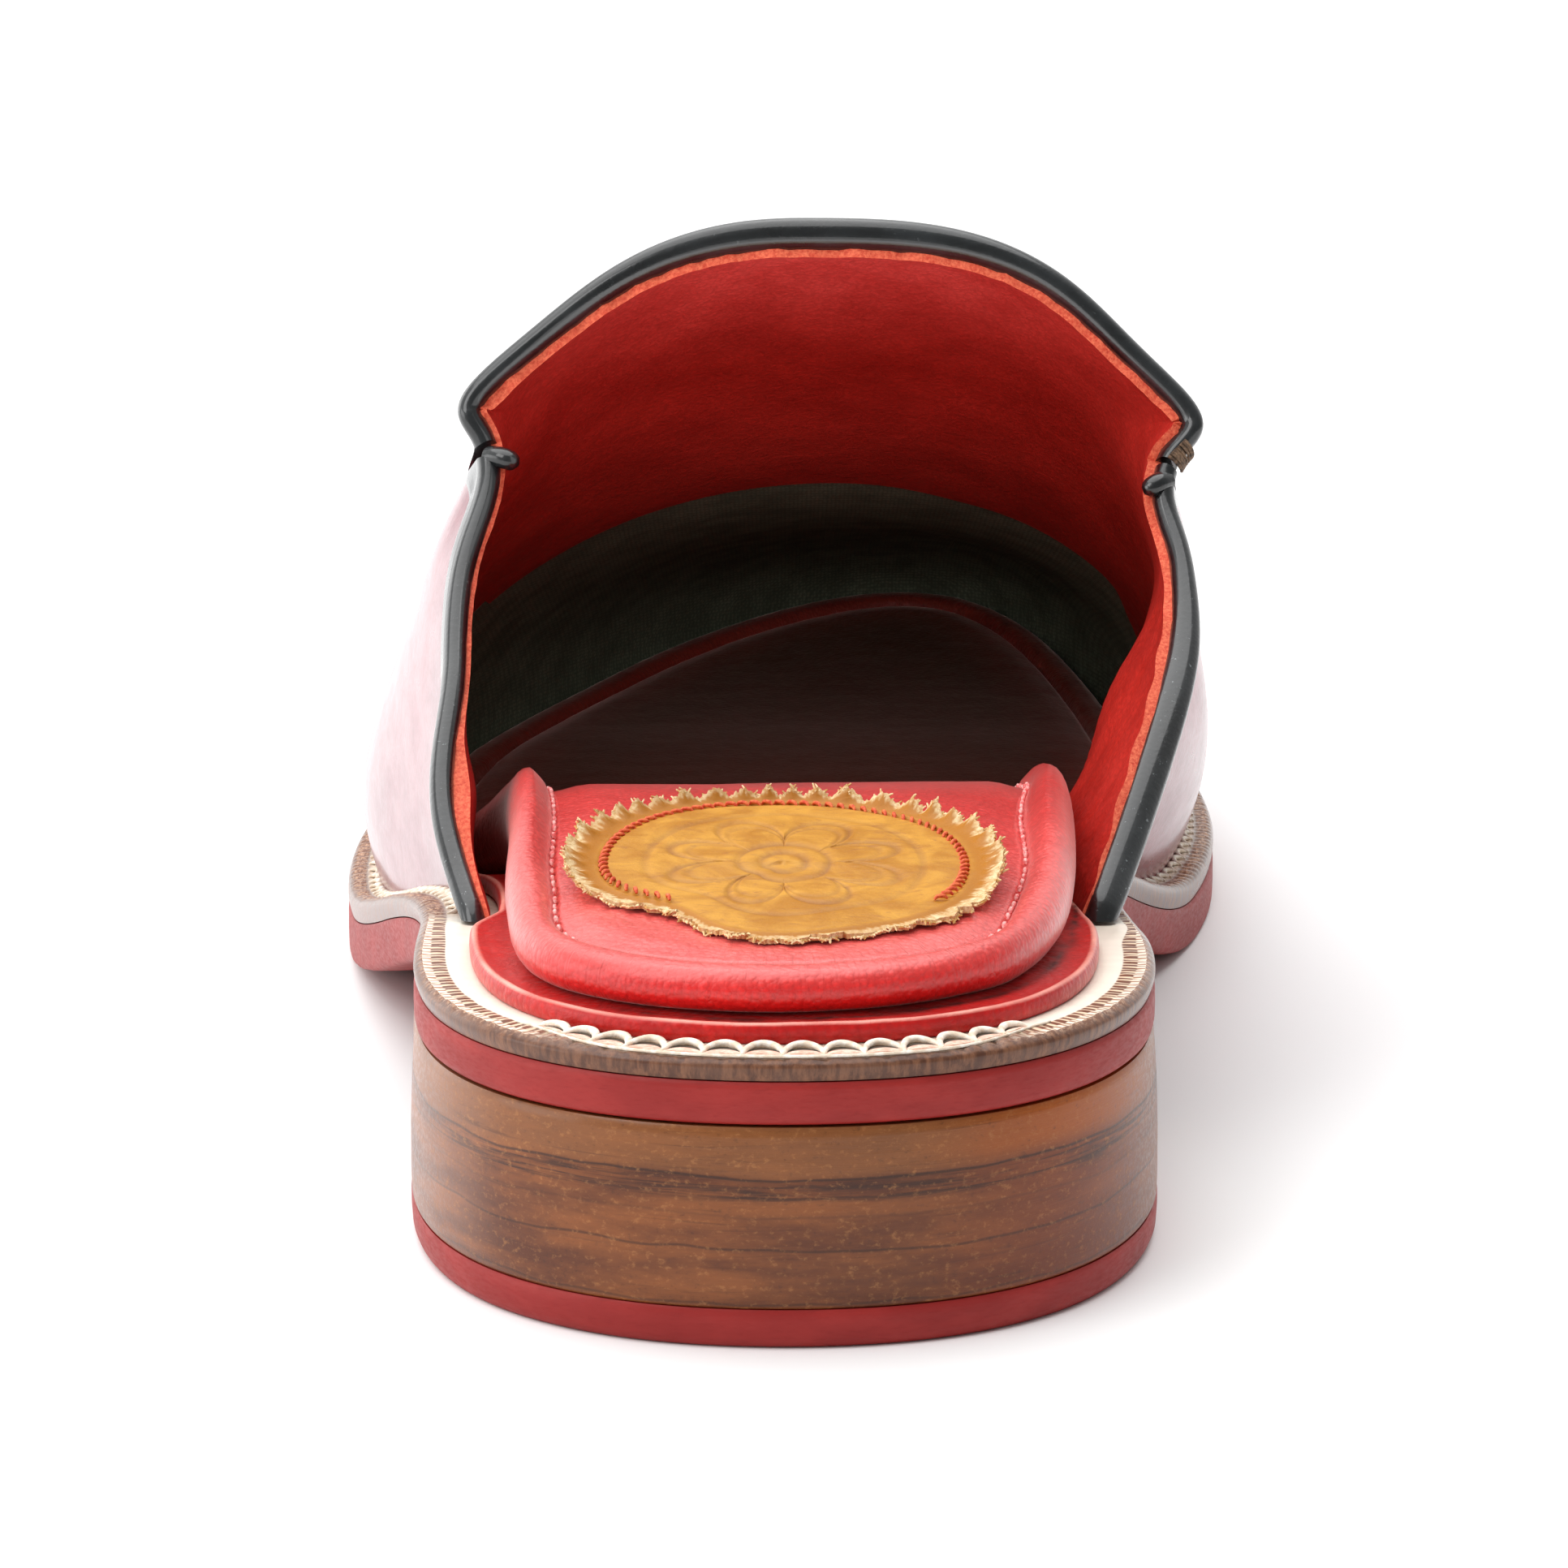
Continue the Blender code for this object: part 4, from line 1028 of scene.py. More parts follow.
def make_scallops():
    """Scales round the back of the heel, each a cream cord over a pink fill, and ribs round the forefoot."""
    cords, fills = Batch(), Batch()
    share = np.linspace(0, 1, 15)
    arch = np.clip(1 - (2 * share - 1) ** 2, 0, 1) ** 0.55
    dark = []
    for k in range(SCALLOPS):
        vary = np.sin(k * 12.7) * 0.5 + np.sin(k * 5.3) * 0.5
        spot, inward = edge_at((k + share * 1.06 - 0.03) / SCALLOPS * AROUND)
        if BAND_START < spot[7, 1] < BAND_END:
            continue
        front = spot[7, 1] > BAND_END
        wide = shelf(spot[:, 0], spot[:, 1])
        foot = (scallop_foot(spot[:, 1]) + 0.05) * wide
        reach = ((0.9 if front else 0.8) + 0.03 * vary) * wide
        thick = (0.16 + 0.28 * arch + 0.05 * vary) if front else (0.17 + 0.27 * arch + 0.04 * vary)
        rise = 0.12 + (0.42 if front else 0.3) * arch + 0.1 * (share - 0.5)
        flat = spot + inward * (foot + (reach - foot) * arch)[:, None]
        z = welt_top(flat[:, 0], flat[:, 1]) + rise
        cords.tube(np.column_stack([flat, z]), thick, UP, 8, 0.85)
        if front:
            continue
        rows = []
        levels = (0.02, 0.25, 0.45, 0.52, 0.58, 0.7, 0.82)
        for level in levels:
            flat = spot + inward * (foot + (reach - foot) * arch * level - 0.05)[:, None]
            z = welt_top(flat[:, 0], flat[:, 1]) + 0.1 + (0.2 + 0.06 * (share - 0.5)) * arch * (1.2 - level)
            rows.append(np.column_stack([flat, z]))
        rows += [row - 0.3 * UP for row in rows[::-1]]
        fills.add(np.stack(rows, 1))
        # Painted shadow line: the rows under the cord's crown are marked dark.
        dark.append(np.tile([float(level > 0.53) for level in levels] + [0] * len(levels), len(share)))
    path = np.linspace(-BAND_PATH, BAND_PATH, 161)
    spot, inward = edge_at(path % AROUND)
    wide = shelf(spot[:, 0], spot[:, 1])
    flat = spot + inward * ((scallop_foot(spot[:, 1]) + 0.03) * wide)[:, None]
    z = welt_top(flat[:, 0], flat[:, 1]) + 0.12
    cords.tube(np.column_stack([flat, z]), 0.15, UP, 8)
    cords.piece("welt_scallops", [CREAM], "welt_leather")
    fills.piece("welt_scallop_fills", [SCALE_PINK], "welt_leather", marks={"dark": np.concatenate(dark)})


def make_insole():
    """Insole with a wavy rim whose top edge carries a fine raised ridge with a painted highlight line, and a
    dark line under the padding that is partly adhesive and partly painted shade.
    """
    inset = [
        # in from the rim, height above the insole's top
        (0.25, -1.8), (0.02, -1.5), (0, -1), (0.05, -0.5), (0.16, -0.16), (0.34, 0.06), (0.6, 0.12),
        (0.9, 0.02), (1.3, -0.1), (1.9, -0.1), (2.6, -0.12), (3.4, -0.1), (4.6, 0),
    ]
    foot = WELT_INSIDE + 0.35
    levels = [(foot, raised(sole_top, 0.1)), (foot, raised(insole_top, -1.8))]
    levels += [(lambda x, y, a=a: insole_offset(x, y) + a, raised(insole_top, b)) for a, b in inset]
    points, faces, level = slab_mesh(levels, SOLE_FINE * 2)
    high = points[:, 2] > insole_top(points[:, 0], points[:, 1]) - 1.2
    sway = 0.13 * grain(points, 8) + 0.05 * grain(points, 2.6, 7)
    points[:, 2] += np.where(high, sway, 0)
    # Painted highlight line along the rim's raised top edge.
    painted_bead_highlight = np.isin(level, (7, 8)) * (0.8 + 0.5 * grain(points, 5, 2))
    # The line under the padding: partly adhesive, partly painted shade.
    marks = {"glue_and_shade": glue_and_shade_line(points), "painted_bead_highlight": np.clip(painted_bead_highlight, 0, 1)}
    add_piece("insole_cover", points, faces, [INSOLE_RED], "red_leather", ["insole"], marks)


def nearest_on(points, line):
    """Number of the line's point that is nearest in plan to each point, and the distance to it."""
    found = [((points[at:at + 4000, None, :2] - line[None]) ** 2).sum(2).argmin(1)
             for at in range(0, len(points), 4000)]
    found = np.concatenate(found)
    return found, np.linalg.norm(points[:, :2] - line[found], axis=1)


def glue_and_shade_line(points):
    """Dark line on the insole at the padding's edge, partly adhesive and partly painted shade under the roll:
    1 there, fading to 0 outside it, quickest along the sides.
    """
    ragged = 0.35 * grain(points, 2.4, 3)
    reach = 0.75 - 0.35 * ramp(points[:, 1], 6, 18) + 0.25 * ramp(points[:, 0], 4, 16)
    x, y = points[:, 0], points[:, 1]
    open_side = ramp(-x, 14, 22) * ramp(y, 12, 24) * (1 - ramp(y, 74, 82))
    away = nearest_on(points, moved_edge(pad_line)[::2])[1]
    near = np.clip((reach + ragged - away) / 0.6, 0, 1)
    return near * (1 - 0.85 * open_side)


STITCH_PITCH = 2.1
VALLEY = 3.8
ROLL_DEEP = 2.1
ROLL_TURNS = (-88, -70, -52, -34, -18, -4, 10, 24, 38, 52, 66, 78, 90)
CUSHION_INSETS = (2.4, 2.8, 3.1, 3.35, 3.5, 3.65, 3.8, 3.95, 4.1, 4.25, 4.5, 4.9, 5.5, 6.3, 7.3)


def pad_height(x, y):
    """Thickness of the cushion over the insole."""
    return table(PAD_TOP, y) - PAD_TILT * (np.asarray(x, float) + 20) * bell(y - 76, 22)


def pad_surface(x, y):
    return insole_top(x, y) + GAP + pad_height(x, y)


def pad_line(x, y):
    """Inset of the padding's edge, drawn in along the waist's outer side and let out along its inner side."""
    side = np.asarray(x, float) / 22
    outer, inner = np.clip(-side, 0, 1), np.clip(side, 0, 1)
    return pad_offset(x, y) + 2.4 * outer * bell(y - 90, 20) - 2.2 * inner * bell(y - 84, 21)


def roll_width(x, y):
    """How much wider the roll and its valley are along the sides than at the back."""
    inner = np.clip(np.asarray(x, float) / 18, 0, 1)
    straight = 0.28 * bell(y - 60, 14) - 0.12 * bell(y - 79, 7)
    return 1 + 0.2 * ramp(y, 14, 32) + inner * (straight - 0.2 * bell(y - 13, 8))


def roll_rise(y):
    return ROLL_RISE * ramp(y, 18, 58) * (1 - ramp(y, 90, 130))


def roll_inset(inset):
    """The padding's edge moved inwards by inset, more where the roll is wider."""
    return lambda x, y: pad_line(x, y) + inset * roll_width(x, y)


def make_pad():
    """Sock: a rolled edge, a valley for the stitching inside it, and a cushion with a crease at the back."""
    made = []
    for turn in np.radians(ROLL_TURNS):
        inset = ROLL_DEEP * (1 - np.cos(turn) ** 0.85)
        share = 0.5 + 0.5 * np.sin(turn)

        def height(x, y, share=share):
            whole = pad_height(x, y) + roll_rise(y)
            return insole_top(x, y) + 0.1 + (whole + 0.1) * share

        made.append((roll_inset(inset), height))
    for inset in CUSHION_INSETS:

        def height(x, y, inset=inset):
            side = ramp(y, 10, 22)
            roll = roll_rise(y) * np.clip(1 - (inset - ROLL_DEEP) / 2.6, 0, 1) ** 1.5
            fall = 0.85 * np.clip((inset - ROLL_DEEP) / 1.7, 0, 1) ** 2
            fall = fall * np.clip((6.8 - inset) / 2.6, 0, 1) * (0.25 + 0.75 * side)
            valley = bell(inset - VALLEY, 0.3)
            pucker = 0.9 * np.exp(-(((x + 20.5) / 3) ** 2) - ((y - 15.5) / 2.6) ** 2)
            return pad_surface(x, y) + roll - fall - valley * (0.3 + 0.35 * side + pucker)

        made.append((roll_inset(inset), height))
    points, faces, level = slab_mesh(made, PAD_FINE)
    x, y, z = points.T
    soft = np.clip((z - insole_top(x, y) - 0.3) / 1.5, 0, 1)
    z = z + soft * (0.1 * grain(points, 13) + 0.06 * grain(points, 4, 5) + 0.025 * grain(points, 1.6, 9))
    nearest, across = nearest_on(points, moved_edge(pad_line)[::4])
    along = np.minimum(PATH, AROUND - PATH)[::4][nearest]
    depth = insole_top(x, y) + pad_height(x, y) + roll_rise(y) - z
    # Painted shade in the hole between the roll's outer side and the lining.
    painted_hole_shade = np.clip((depth - 1.6) / 1.4, 0, 1) * ramp(-x, 18, 24) * ramp(y, 74, 80)
    marks = {
        "along": along,
        "pleat": (1 - ramp(across, 3.8, 7.5)) * ramp(y, 3, 16),
        # front: painted shade on the cushion's forward part, deep in the throat.
        "front": ramp(y, 98, 132) * (0.65 + 0.35 * ramp(across, 2, 18)),
        "glue_and_shade": painted_hole_shade,
        # top: painted light on the upper faces of the roll and the cushion.
        "top": np.clip((level - 6) / 5, 0, 1) * (1 - 0.6 * ramp(y, 30, 62)),
    }
    points = np.column_stack([x, y, z])
    add_piece("sock_cushion", points, faces, [PAD_RED], "red_leather", ["sock_pad"], marks, sharp=80)


def walk(line, start, end, pitch, look):
    """Spots on a flat line at that pitch, each with its place along the line and the direction there."""
    path = lengths(line)
    for at in np.arange(start, path[-1] - end, pitch):
        spot, ahead = [np.array([np.interp(p, path, line[:, i]) for i in (0, 1)]) for p in (at, at + look)]
        yield at, spot, unit(np.append(ahead - spot, 0))


def make_pad_stitches():
    """Stitches sunk in the valley along both sides of the sock."""
    loops = Batch()
    for pick in sole_indices(900):
        line = EDGE[pick] + INWARD[pick] * roll_inset(VALLEY)(*EDGE[pick].T)[:, None]
        for at, spot, along in walk(line, 0.5 * STITCH_PITCH, 0, STITCH_PITCH, 0.4):
            if 19 < spot[1] < 92:
                z = float(pad_surface(*spot) + roll_rise(spot[1]) * 0.12 - 0.85 - 0.14 * np.sin(at * 3.7))
                loops.stitch(np.array([*spot, z]), along, UP, 0.95, 0.24)
    loops.piece("sock_stitches", [PINK_THREAD], "red_leather")


TEETH = 44
FOLD_RISE = 1.25
TIP_RISE = 0.95


def patch_rim(turn):
    """Distance of the patch's rim from its centre: nearly round, drawn to a blunt point at the heel."""
    oval = 1 / np.hypot(np.cos(turn) / PATCH_HALF_WIDTH, np.sin(turn) / PATCH_HALF_LENGTH)
    away = (turn + np.pi / 2 + np.pi) % (2 * np.pi) - np.pi
    outer = 0.2 * bell(away + 0.68, 0.38)
    inner = 0.05 * bell(away - 0.42, 0.3)
    return oval * (1 - outer - inner)


def patch_curl(turn):
    """How far the rim curls up: a cup at the far edge and the sides, flat at the heel."""
    return ramp(np.sin(turn), -0.62, -0.05)


def ring_share(turn):
    """Share of the rim's distance at which the patch is stitched down."""
    return 0.82 + 0.1 * np.sin(turn) ** 2


def rosette(share, angle):
    """Blind stamp, 0 to 1 deep: a small ring, petals of uneven depth and an outer ring."""
    ring = bell(share - 0.12, 0.025) + bell(share - 0.25, 0.02)
    ring = ring + 0.7 * bell(share - 0.76, 0.018)
    wave = np.abs(np.sin(4 * angle))
    reach = 0.3 + 0.36 * wave**0.6
    petal = bell(share - reach, 0.028) + 0.6 * bell(share - reach * 0.84, 0.02)
    return np.clip(ring + 0.9 * petal, 0, 1)


def make_patch():
    """Ochre patch: flat inside its stitching, with a torn, pinked rim that stands up like a cup."""
    across = TEETH * 16
    angle = 2 * np.pi * np.arange(across) / across
    place = angle * TEETH / (2 * np.pi) + 0.3 * np.sin(3 * angle + 1) + 0.2 * np.sin(8 * angle)
    zig = np.abs(place % 1 * 2 - 1)
    tooth = np.floor(place)
    vary = np.sin(tooth * 12.9) * 0.5 + np.sin(tooth * 4.1) * 0.5
    torn = 0.5 * np.sin(place * 21 + 3 * np.sin(place * 5)) + 0.5 * np.sin(place * 34 + tooth)
    cup = patch_curl(angle)
    ring = ring_share(angle)
    levels = [(flat, 0) for flat in np.linspace(0.02, 1, 48)]
    levels += [(1, out) for out in np.linspace(0.08, 1, 14)]
    made = []
    for flat, out in levels:
        teeth = np.clip((out - 0.4) / 0.6, 0, 1)
        frayed = np.clip((out - 0.75) / 0.25, 0, 1)
        share = ring * flat + (1 - ring) * out
        size = patch_rim(angle) * share - 0.4 * cup * out**2
        size = size - (1 - cup) * teeth * (0.75 + 0.35 * vary) * zig + 0.16 * frayed * torn
        rise = FOLD_RISE * out**1.2 + TIP_RISE * teeth * (1 + 0.4 * vary) * (1 - 1.3 * zig)
        rise = cup * (rise + 0.2 * frayed * torn)
        x = size * np.cos(angle)
        y = PATCH_Y + size * np.sin(angle)
        ruffle = (1 - cup) * teeth * (0.2 + 0.34 * np.abs(np.sin(place * 1.3 + 1)) * (1 + vary))
        floor = pad_surface(x, y) + 0.1
        stamp = rosette(flat, angle) * float(out == 0)
        dome = 0.2 * (1 - share**2)
        sunk = 0.3 * bell(flat - 1, 0.02) * float(out == 0) * (0.3 + 0.7 * cup)
        thick = PATCH_THICK * (1 - (0.45 + 0.2 * (1 - cup)) * out) * (0.75 + 0.25 * cup)
        top = np.column_stack([x, y, floor + thick + dome + rise + ruffle - sunk - 0.22 * stamp])
        low = np.column_stack([x, y, floor + dome * 0.5 + rise + ruffle * 0.5])
        stamp = stamp * (0.75 + 0.25 * np.sin(3 * angle + 9 * flat))
        edge = np.clip((teeth - 0.62 + 0.35 * zig + 0.25 * torn + 0.45 * (1 - cup)) / 0.3, 0, 1)
        tip = np.clip(edge * (0.85 + 0.3 * vary), 0, 1) * np.clip(teeth / 0.05, 0, 1)
        made.append((top, low, stamp, np.full(across, min(out * 4, 1)), tip))
    top, low, stamp, rim, tip = [np.concatenate(part) for part in zip(*made)]
    rows = len(levels)
    centre = np.array([[0, PATCH_Y, float(pad_surface(0, PATCH_Y)) + 0.1 + PATCH_THICK + 0.2]])
    top = top + 0.12 * grain(top, 7)[:, None] * UP
    points = np.concatenate([top, low, centre, centre - PATCH_THICK * UP])
    faces = []
    for k in range(rows - 1):
        faces += wall_faces(k * across, (k + 1) * across, across)
        faces += wall_faces((rows + k) * across, (rows + k + 1) * across, across, True)
    faces += wall_faces((rows - 1) * across, (2 * rows - 1) * across, across)
    top_centre = 2 * rows * across
    for i in range(across):
        j = (i + 1) % across
        faces.append((i, j, top_centre))
        faces.append((rows * across + j, rows * across + i, top_centre + 1))
    pad = np.zeros(2)
    marks = {
        "stamp": np.concatenate([stamp, stamp, pad]),
        "rim": np.concatenate([rim, rim, pad]),
        "tooth": np.concatenate([tip, np.full(len(low), 0.75), pad]),
    }
    add_piece("heel_patch", points, faces, [OCHRE], "ochre_leather", ["label_patch"], marks, sharp=50)
    edge = (rows - 1) * across
    make_patch_stitches()
    make_patch_fibres(angle, 0.5 * (top[edge:] + low[edge:]), zig, cup)


def make_patch_fibres(angle, rim, zig, cup):
    """Short tapering fibres on the rim, most of them between the teeth."""
    fuzz = Batch()
    for k in range(TEETH * 15):
        pick = (k * 37) % len(rim)
        if zig[pick] > 0.7 and k % 2:
            continue
        start = rim[pick] + 0.15 * np.sin(k * 3.3) * UP
        side = angle[pick] + 1.3 * np.sin(k * 2.2)
        lean = np.array([np.cos(side), np.sin(side), 0.35 * np.sin(k * 1.3) + 0.9 * cup[pick]])
        reach = np.linspace(0, 1, 4)[:, None] * (0.42 + 0.26 * np.sin(k * 9.1))
        path = start - 0.15 * lean + lean * reach - 0.3 * UP * reach**2
        fuzz.tube(path, np.linspace(0.17, 0.08, 4), UP, 4)
    fuzz.piece("patch_fibres", [FIBRE], "ochre_leather")


def make_patch_stitches():
    """Slanted stitches round the patch, except at its heel end."""
    loops = Batch()
    turns = np.linspace(0, 2 * np.pi, 2001)
    size = patch_rim(turns) * (ring_share(turns) - 0.012)
    line = np.column_stack([size * np.cos(turns), PATCH_Y + size * np.sin(turns)])
    for _, spot, forward in walk(line, 0, 0.6, 1.25, 0.3):
        if spot[1] >= PATCH_Y - 0.5 * PATCH_HALF_LENGTH:
            z = float(pad_surface(*spot)) + 0.1 + PATCH_THICK + 0.12
            slant = unit(forward + 0.9 * np.array([forward[1], -forward[0], 0]))
            loops.stitch(np.array([*spot, z]), slant, UP, 1.3, 0.2)
    loops.piece("patch_stitches", [RED_THREAD], "ochre_leather")


LEATHER = 1.5
TOE_LINING_START = 172
LINING_END = [
    # turn in degrees, y where the red lining ends
    (0, 174), (40, 175.5), (65, 177.5), (90, 178.5), (108, 182.5), (125, 182), (138, 180.5),
    (146, 191), (155, 199), (180, 206),
]
CREASES = [
    # y at the outer side, y at the inner side, depth, half width in y
    (204, 214, 0.5, 2.6), (212, 224, 0.35, 2.2), (195, 203, 0.3, 3), (221, 233, 0.22, 2.4),
]


def turns_for(counts):
    """Even turns for the outer quarter, the tongue and the inner quarter."""
    out = even_turns(counts[0], 0, NOTCH_OUT - NOTCH_SLIT)
    tongue = even_turns(counts[1], NOTCH_OUT + NOTCH_SLIT, NOTCH_IN - NOTCH_SLIT)
    inner = even_turns(counts[0], NOTCH_IN + NOTCH_SLIT, np.pi)
    return out, tongue, inner


def crease(t, y):
    """Depth of the flex creases over the vamp, with a soft ridge behind each."""
    across = t / np.pi
    depth = np.zeros(np.broadcast(t, y).shape)
    for outer_y, inner_y, deep, wide in CREASES:
        middle = outer_y + (inner_y - outer_y) * across + 3 * np.sin(across * np.pi * 2 + outer_y)
        over = bell(across - 0.48, 0.3)
        depth = depth + deep * over * bell(y - middle, wide)
        depth = depth - 0.7 * deep * over * bell(y - middle + 2.1 * wide, 1.5 * wide)
    return depth


def shell(t, start, end, outer_depth, inner_depth, rows):
    """Points and faces of a layer of the upper between two depths. end None runs it to the toe's tip."""
    quarter = TOE_RADIUS * np.pi / 2
    if end is None:
        total = TIP_Y - start - TOE_RADIUS + quarter
        share = np.linspace(0, 1, rows + 1)[1:]
        path = share[:, None] * total[None, :]
        bend = TOE_RADIUS * (1 - np.cos(np.clip(path, 0, quarter) / TOE_RADIUS))
        y = TIP_Y - bend - np.clip(path - quarter, 0, None)
    else:
        share = np.linspace(0, 1, rows) ** 1.15
        y = end[None, :] + (start - end)[None, :] * share[:, None]
    turns = np.broadcast_to(t, y.shape)
    outer = wall_point(turns, y, outer_depth(turns, y))
    inner = wall_point(turns, y, inner_depth(turns, y))
    points = [outer.reshape(-1, 3), inner.reshape(-1, 3)]
    upper = np.arange(y.size).reshape(y.shape)
    lower = upper + y.size
    faces = strip(upper[:, 0], lower[:, 0]) + strip(lower[:, -1], upper[:, -1])
    for layer, flip in ((upper, False), (lower, True)):
        for a, b in zip(layer, layer[1:]):
            faces += strip(a, b, flip)
    if end is None:
        depths = [float(d(np.array([np.pi / 2]), np.array([TIP_Y]))[0]) for d in (outer_depth, inner_depth)]
        tip = np.array([TIP_X, TIP_Y, float(welt_top(TIP_X, TIP_Y)) + FOOT_GAP])
        points.append(np.stack([tip - np.array([0, d, 0]) for d in depths]))
        a, b = 2 * y.size, 2 * y.size + 1
        for j in range(y.shape[1] - 1):
            faces += [(a, j + 1, j), (b, y.size + j, y.size + j + 1)]
        faces += [(a, 0, lower[0, 0], b), (upper[0, -1], a, b, lower[0, -1])]
    else:
        faces += strip(lower[0], upper[0])
    faces += strip(upper[-1], lower[-1])
    return np.concatenate(points), faces, turns, y


def tongue_share(t):
    """1 over the top of the tongue, 0 down the quarters."""
    return np.clip(np.sin(t), 0, 1) ** 6


def lip(t, y):
    """How far the lining's cut edge stands away from the wall, near the topline."""
    back = np.clip(y - collar_of(t), 0, None)
    return (0.15 + tongue_share(t)) * np.exp(-back / 5)


def thickening(t, y):
    """Extra thickness of the lining: low on both sides, and in a fold beside the sock."""
    down = np.pi - t
    foot = 1 - 0.6 * bell(down, 0.02)
    inner = foot * (1 - ramp(down, 0.1, 0.35)) * (1 - ramp(y, 78, 92))
    fold = 1.9 * bell(down, 0.12) * bell(y - 94, 9)
    outer = 1.3 * bell(t - 0.11, 0.06) * (1 - ramp(y, 75, 90))
    ripple = 0.16 * np.sin(1.1 * y + 5 * t) * bell(down, 0.25) * (1 - ramp(y, 92, 110))
    return inner + fold + outer + ripple


def collar_of(t):
    """collar by interpolation, for whole grids."""
    return np.interp(t, COLLAR_TURNS, COLLAR_Y)


COLLAR_TURNS = np.linspace(0, np.pi, 1801)
COLLAR_Y = collar(COLLAR_TURNS)


def make_upper():
    """Outer leather, the red lining with its raw edge, and the dark lining of the toe."""
    out, tongue, inner = turns_for((70, 130))
    t = np.concatenate([out, tongue, inner])
    start = seam(t) + SEAM - 0.25

    def outside(t, y):
        return crease(t, y) + 0.05 * np.sin(3 * t + y / 9)

    points, faces, turns, y = shell(t, start, None, outside, fixed(LEATHER), 130)
    size = y.size
    near_edge = bell(y - start, 7)
    near_foot = bell(np.minimum(turns, np.pi - turns), 0.28)
    toe = ramp(y, 235, 285)
    # Burnished toe and seam, with painted shade near the feather line.
    burnish_and_shade = np.clip(0.7 * near_foot + 0.55 * toe + 0.5 * near_edge, 0, 1).reshape(-1)
    marks = {"burnish_and_shade": np.concatenate([burnish_and_shade, burnish_and_shade, [1, 1]])}
    points[:size] += 0.1 * grain(points[:size], 16)[:, None] * out_normal(turns, y).reshape(-1, 3)
    add_piece("vamp_leather", points, faces, [ROSE], "rose_leather", ["upper"], marks, sharp=60)

    t = np.concatenate(turns_for((70, 120)))
    edge = collar_of(t)
    begin = edge + 1.3 + 0.16 * np.sin(t * 57) + 0.13 * np.sin(t * 131) + 0.08 * np.sin(t * 311)
    stop = table(LINING_END, np.degrees(t))

    def inside(t, y):
        fold = 0.5 * bell(t - NOTCH_OUT - 0.16, 0.07) * bell(y - 104, 16)
        thick = 3.05 - 0.5 * (1 - ramp(t, NOTCH_OUT - 0.1, NOTCH_OUT + 0.3))
        return thick + lip(t, y) + thickening(t, y) + fold

    points, faces, turns, y = shell(t, begin, stop, fixed(LEATHER + 0.1), inside, 90)
    kinds = np.arange(len(faces)) > len(faces) - y.shape[1]
    # Painted light on the lining near the collar over the tongue.
    painted_collar_light = (0.6 * bell(y - begin, 16) * tongue_share(turns)).reshape(-1)
    marks = {"top": np.concatenate([painted_collar_light, painted_collar_light])}
    add_piece("throat_lining", points, faces, [LINING_RED, RAW], "red_leather", (), marks, kinds, 50)

    start = np.minimum(TOE_LINING_START, stop - 4)
    points, faces, _, _ = shell(t, start, None, fixed(LEATHER + 0.1), fixed(2.7), 60)
    add_piece("toe_lining", points, faces, [TOE], "black_leather", (), sharp=60)


def make_binding(name, t, node):
    """Rolled black edge. The lining covers its inner side."""
    edge = collar(t)
    width = seam(t) - edge
    proud = ROLL_SIDE + (ROLL_TOP - ROLL_SIDE) * tongue_share(t)
    inside = 2.25 + 0.8 * tongue_share(t) + (1 - ramp(np.pi - t, 0.08, 0.3))

    def at(share):
        back = BAND * share if share < 0.5 else BAND * 0.5 + (width - BAND * 0.5) * (share * 2 - 1)
        return edge + back

    rings = []
    for share in (1, 0.985, 0.95, 0.85, 0.7, 0.55, 0.42):
        rings.append(wall_point(t, at(share), -proud * (1 - 0.5 * bell(1 - share, 0.05))))
    half = (inside + proud) / 2
    middle = (inside - proud) / 2
    for turn in np.radians([-84, -66, -48, -30, -12, 6, 24, 42, 60, 76, 88]):
        rings.append(wall_point(t, edge + 1.55 * (1 - np.cos(turn) ** 0.9), middle + half * np.sin(turn)))
    for share in (0.4, 0.6, 0.8, 1):
        rings.append(wall_point(t, at(share), inside))
    across = len(rings)
    points = np.stack(rings, 1).reshape(-1, 3)
    faces = tube_faces(0, len(t), across)
    foot = np.repeat(bell(np.minimum(t, np.pi - t), 0.25), across)
    # Pale flecks of scuffs and painted glints, most near the binding's foot.
    add_piece(name, points, faces, [BLACK], "black_leather", [node], {"scuffs_and_glints": 0.15 + 0.85 * foot}, sharp=60)


NOTCH_FOLDS = [
    # x, y and z of the outer end, x, y and z of the blunt inner end, radius
    (-32, 99.4, 66.6, -28.8, 97.8, 65.8, 1.25),
    (41.4, 97.2, 64.2, 39, 95.7, 63, 1.25),
]


def make_notches():
    """Blunt black fold that closes each notch, and the small brown tack over the inner one."""
    folds = Batch()
    share = np.linspace(0, 1, 15)[:, None]
    for row in NOTCH_FOLDS:
        start, stop = np.array(row[:3]), np.array(row[3:6])
        path = start + (stop - start) * share + np.array([0, -0.5, 0.35]) * np.sin(np.pi * share)
        round_off = np.clip(1 - share[:, 0] ** 7, 0.02, 1) ** 0.5
        folds.tube(path, row[6] * round_off, np.array([0, -0.3, 1]), 16, 0.9)
    folds.piece("notch_folds", [BLACK], "black_leather")
    tack = Batch()
    bend = np.radians(np.linspace(-100, 20, 11))
    for k in range(8):
        turn = np.full(len(bend), NOTCH_IN - 0.044 + 0.0046 * k + 0.0012 * np.sin(5 * k))
        y = collar_of(turn) - 0.2 + 1.55 * (1 - np.clip(np.cos(bend), 0, 1) ** 0.9)
        path = wall_point(turn, y, 0.9 + 1.75 * np.sin(bend))
        tack.tube(path, 0.2, np.array([1, 0.2, 0]), 6)
    tack.piece("notch_bar_tack", [TACK], "black_leather")


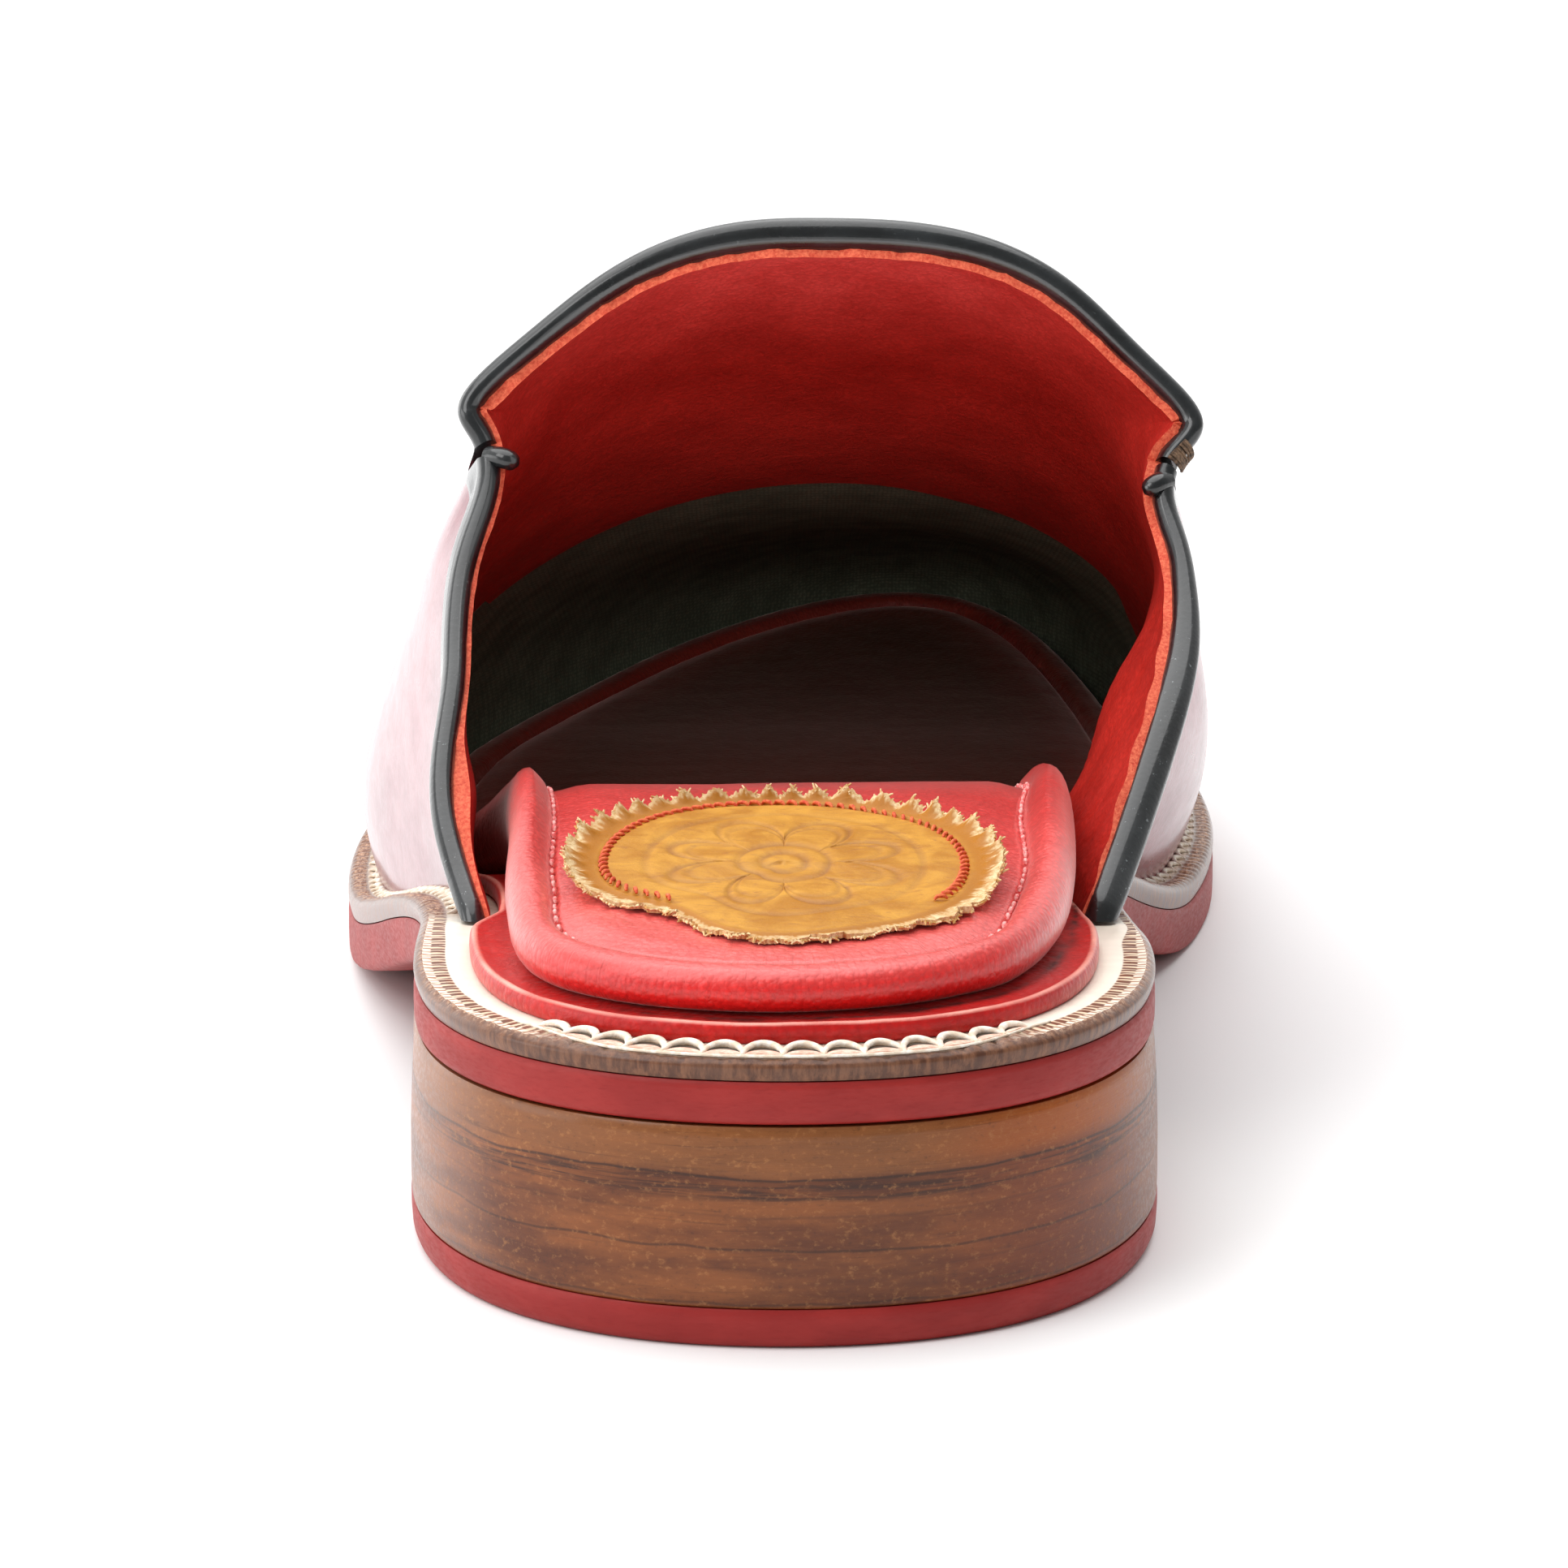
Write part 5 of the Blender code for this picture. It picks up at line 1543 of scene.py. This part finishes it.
WORLD_FADE = (-0.8, 0.7, 0.3, 1.03)
BRIGHT_SIDE = (-0.5, 0.87, 0)
SUN_POWER = 2.2
SUN_ANGLE = 70
AREA_LIGHTS = [
    # name, place, aim, size, power, spread in degrees
    ("box_left", (-1.1, 0.75, 0.35), (0, 0, 0.03), (0.9, 0.9), 3.5, 180),
    ("throat_fill", (0, -0.06, 0.075), (0, 0.06, 0.02), (0.05, 0.02), 0.004, 180),
    ("toe_fill", (0, -0.03, 0.06), (0.01, 0.12, 0), (0.05, 0.02), 0.0035, 75),
    ("box_key", (-0.6, -0.55, 0.75), (0, -0.05, 0.04), (0.5, 0.5), 3, 180),
    ("box_low", (-1.2, -0.35, 0.3), (0, -0.05, 0.03), (0.8, 0.5), 3, 180),
]
FLOOR_HALF = 6
LENS = 96
SENSOR = 36
CAMERA_PLACE = (-0.0009, -0.49887, 0.12672)
CAMERA_DOWN = 12.05


def facing(direction):
    """Turn of a light that shines in that direction."""
    return Vector(direction).to_track_quat("-Z", "Y").to_euler()


def add_area(name, place, aim, size, power, spread):
    light = bpy.data.lights.new(name, "AREA")
    light.shape = "RECTANGLE"
    light.size, light.size_y = size
    light.energy = power
    light.spread = np.radians(spread)
    add_object(name, light, place, facing(Vector(aim) - Vector(place)))


def make_stage():
    """Pale floor, white surroundings, soft boxes and the camera."""
    mesh = bpy.data.meshes.new("floor")
    corners = [(FLOOR_HALF * x, FLOOR_HALF * y, 0) for x, y in ((-1, -1), (1, -1), (1, 1), (-1, 1))]
    mesh.from_pydata(corners, [], [(0, 1, 2, 3)])
    mesh.materials.append(Paint("floor", Roughness=0.9, Base_Color=(0.93, 0.93, 0.93, 1)).material)
    add_object("floor", mesh)
    world = bpy.data.worlds.new("studio")
    bpy.context.scene.world = world
    world.use_nodes = True
    sky = Nodes(world.node_tree, "Background")
    side = sky.node("VectorMath", operation="DOT_PRODUCT")
    sky.put(side.inputs[0], sky.node("TexCoord").outputs["Generated"])
    side.inputs[1].default_value = BRIGHT_SIDE
    sky.fill(sky.shader, Color=(1, 1, 1, 1), Strength=sky.spread(side.outputs["Value"], *WORLD_FADE))
    sun = bpy.data.lights.new("sky_sun", "SUN")
    sun.energy = SUN_POWER
    sun.angle = np.radians(SUN_ANGLE)
    add_object("sky_sun", sun, turn=facing((0.1, -0.15, -1)))
    for row in AREA_LIGHTS:
        add_area(*row)
    lens = bpy.data.cameras.new("camera")
    lens.lens = LENS
    lens.sensor_width = SENSOR
    lens.clip_start = 0.01
    turn = (np.radians(90 - CAMERA_DOWN), 0, 0)
    bpy.context.scene.camera = add_object("camera", lens, CAMERA_PLACE, turn)
    bpy.context.scene.view_settings.view_transform = "Standard"


make_soles()
make_welt()
make_scallops()
make_insole()
make_pad()
make_pad_stitches()
make_patch()
make_upper()
FINE_OUT, FINE_TONGUE, FINE_IN = turns_for((90, 170))
make_binding("tongue_edge", FINE_TONGUE, "tongue_binding")
make_binding("outer_quarter_edge", FINE_OUT, "outer_quarter_binding")
make_binding("inner_quarter_edge", FINE_IN, "inner_quarter_binding")
make_notches()
make_stage()
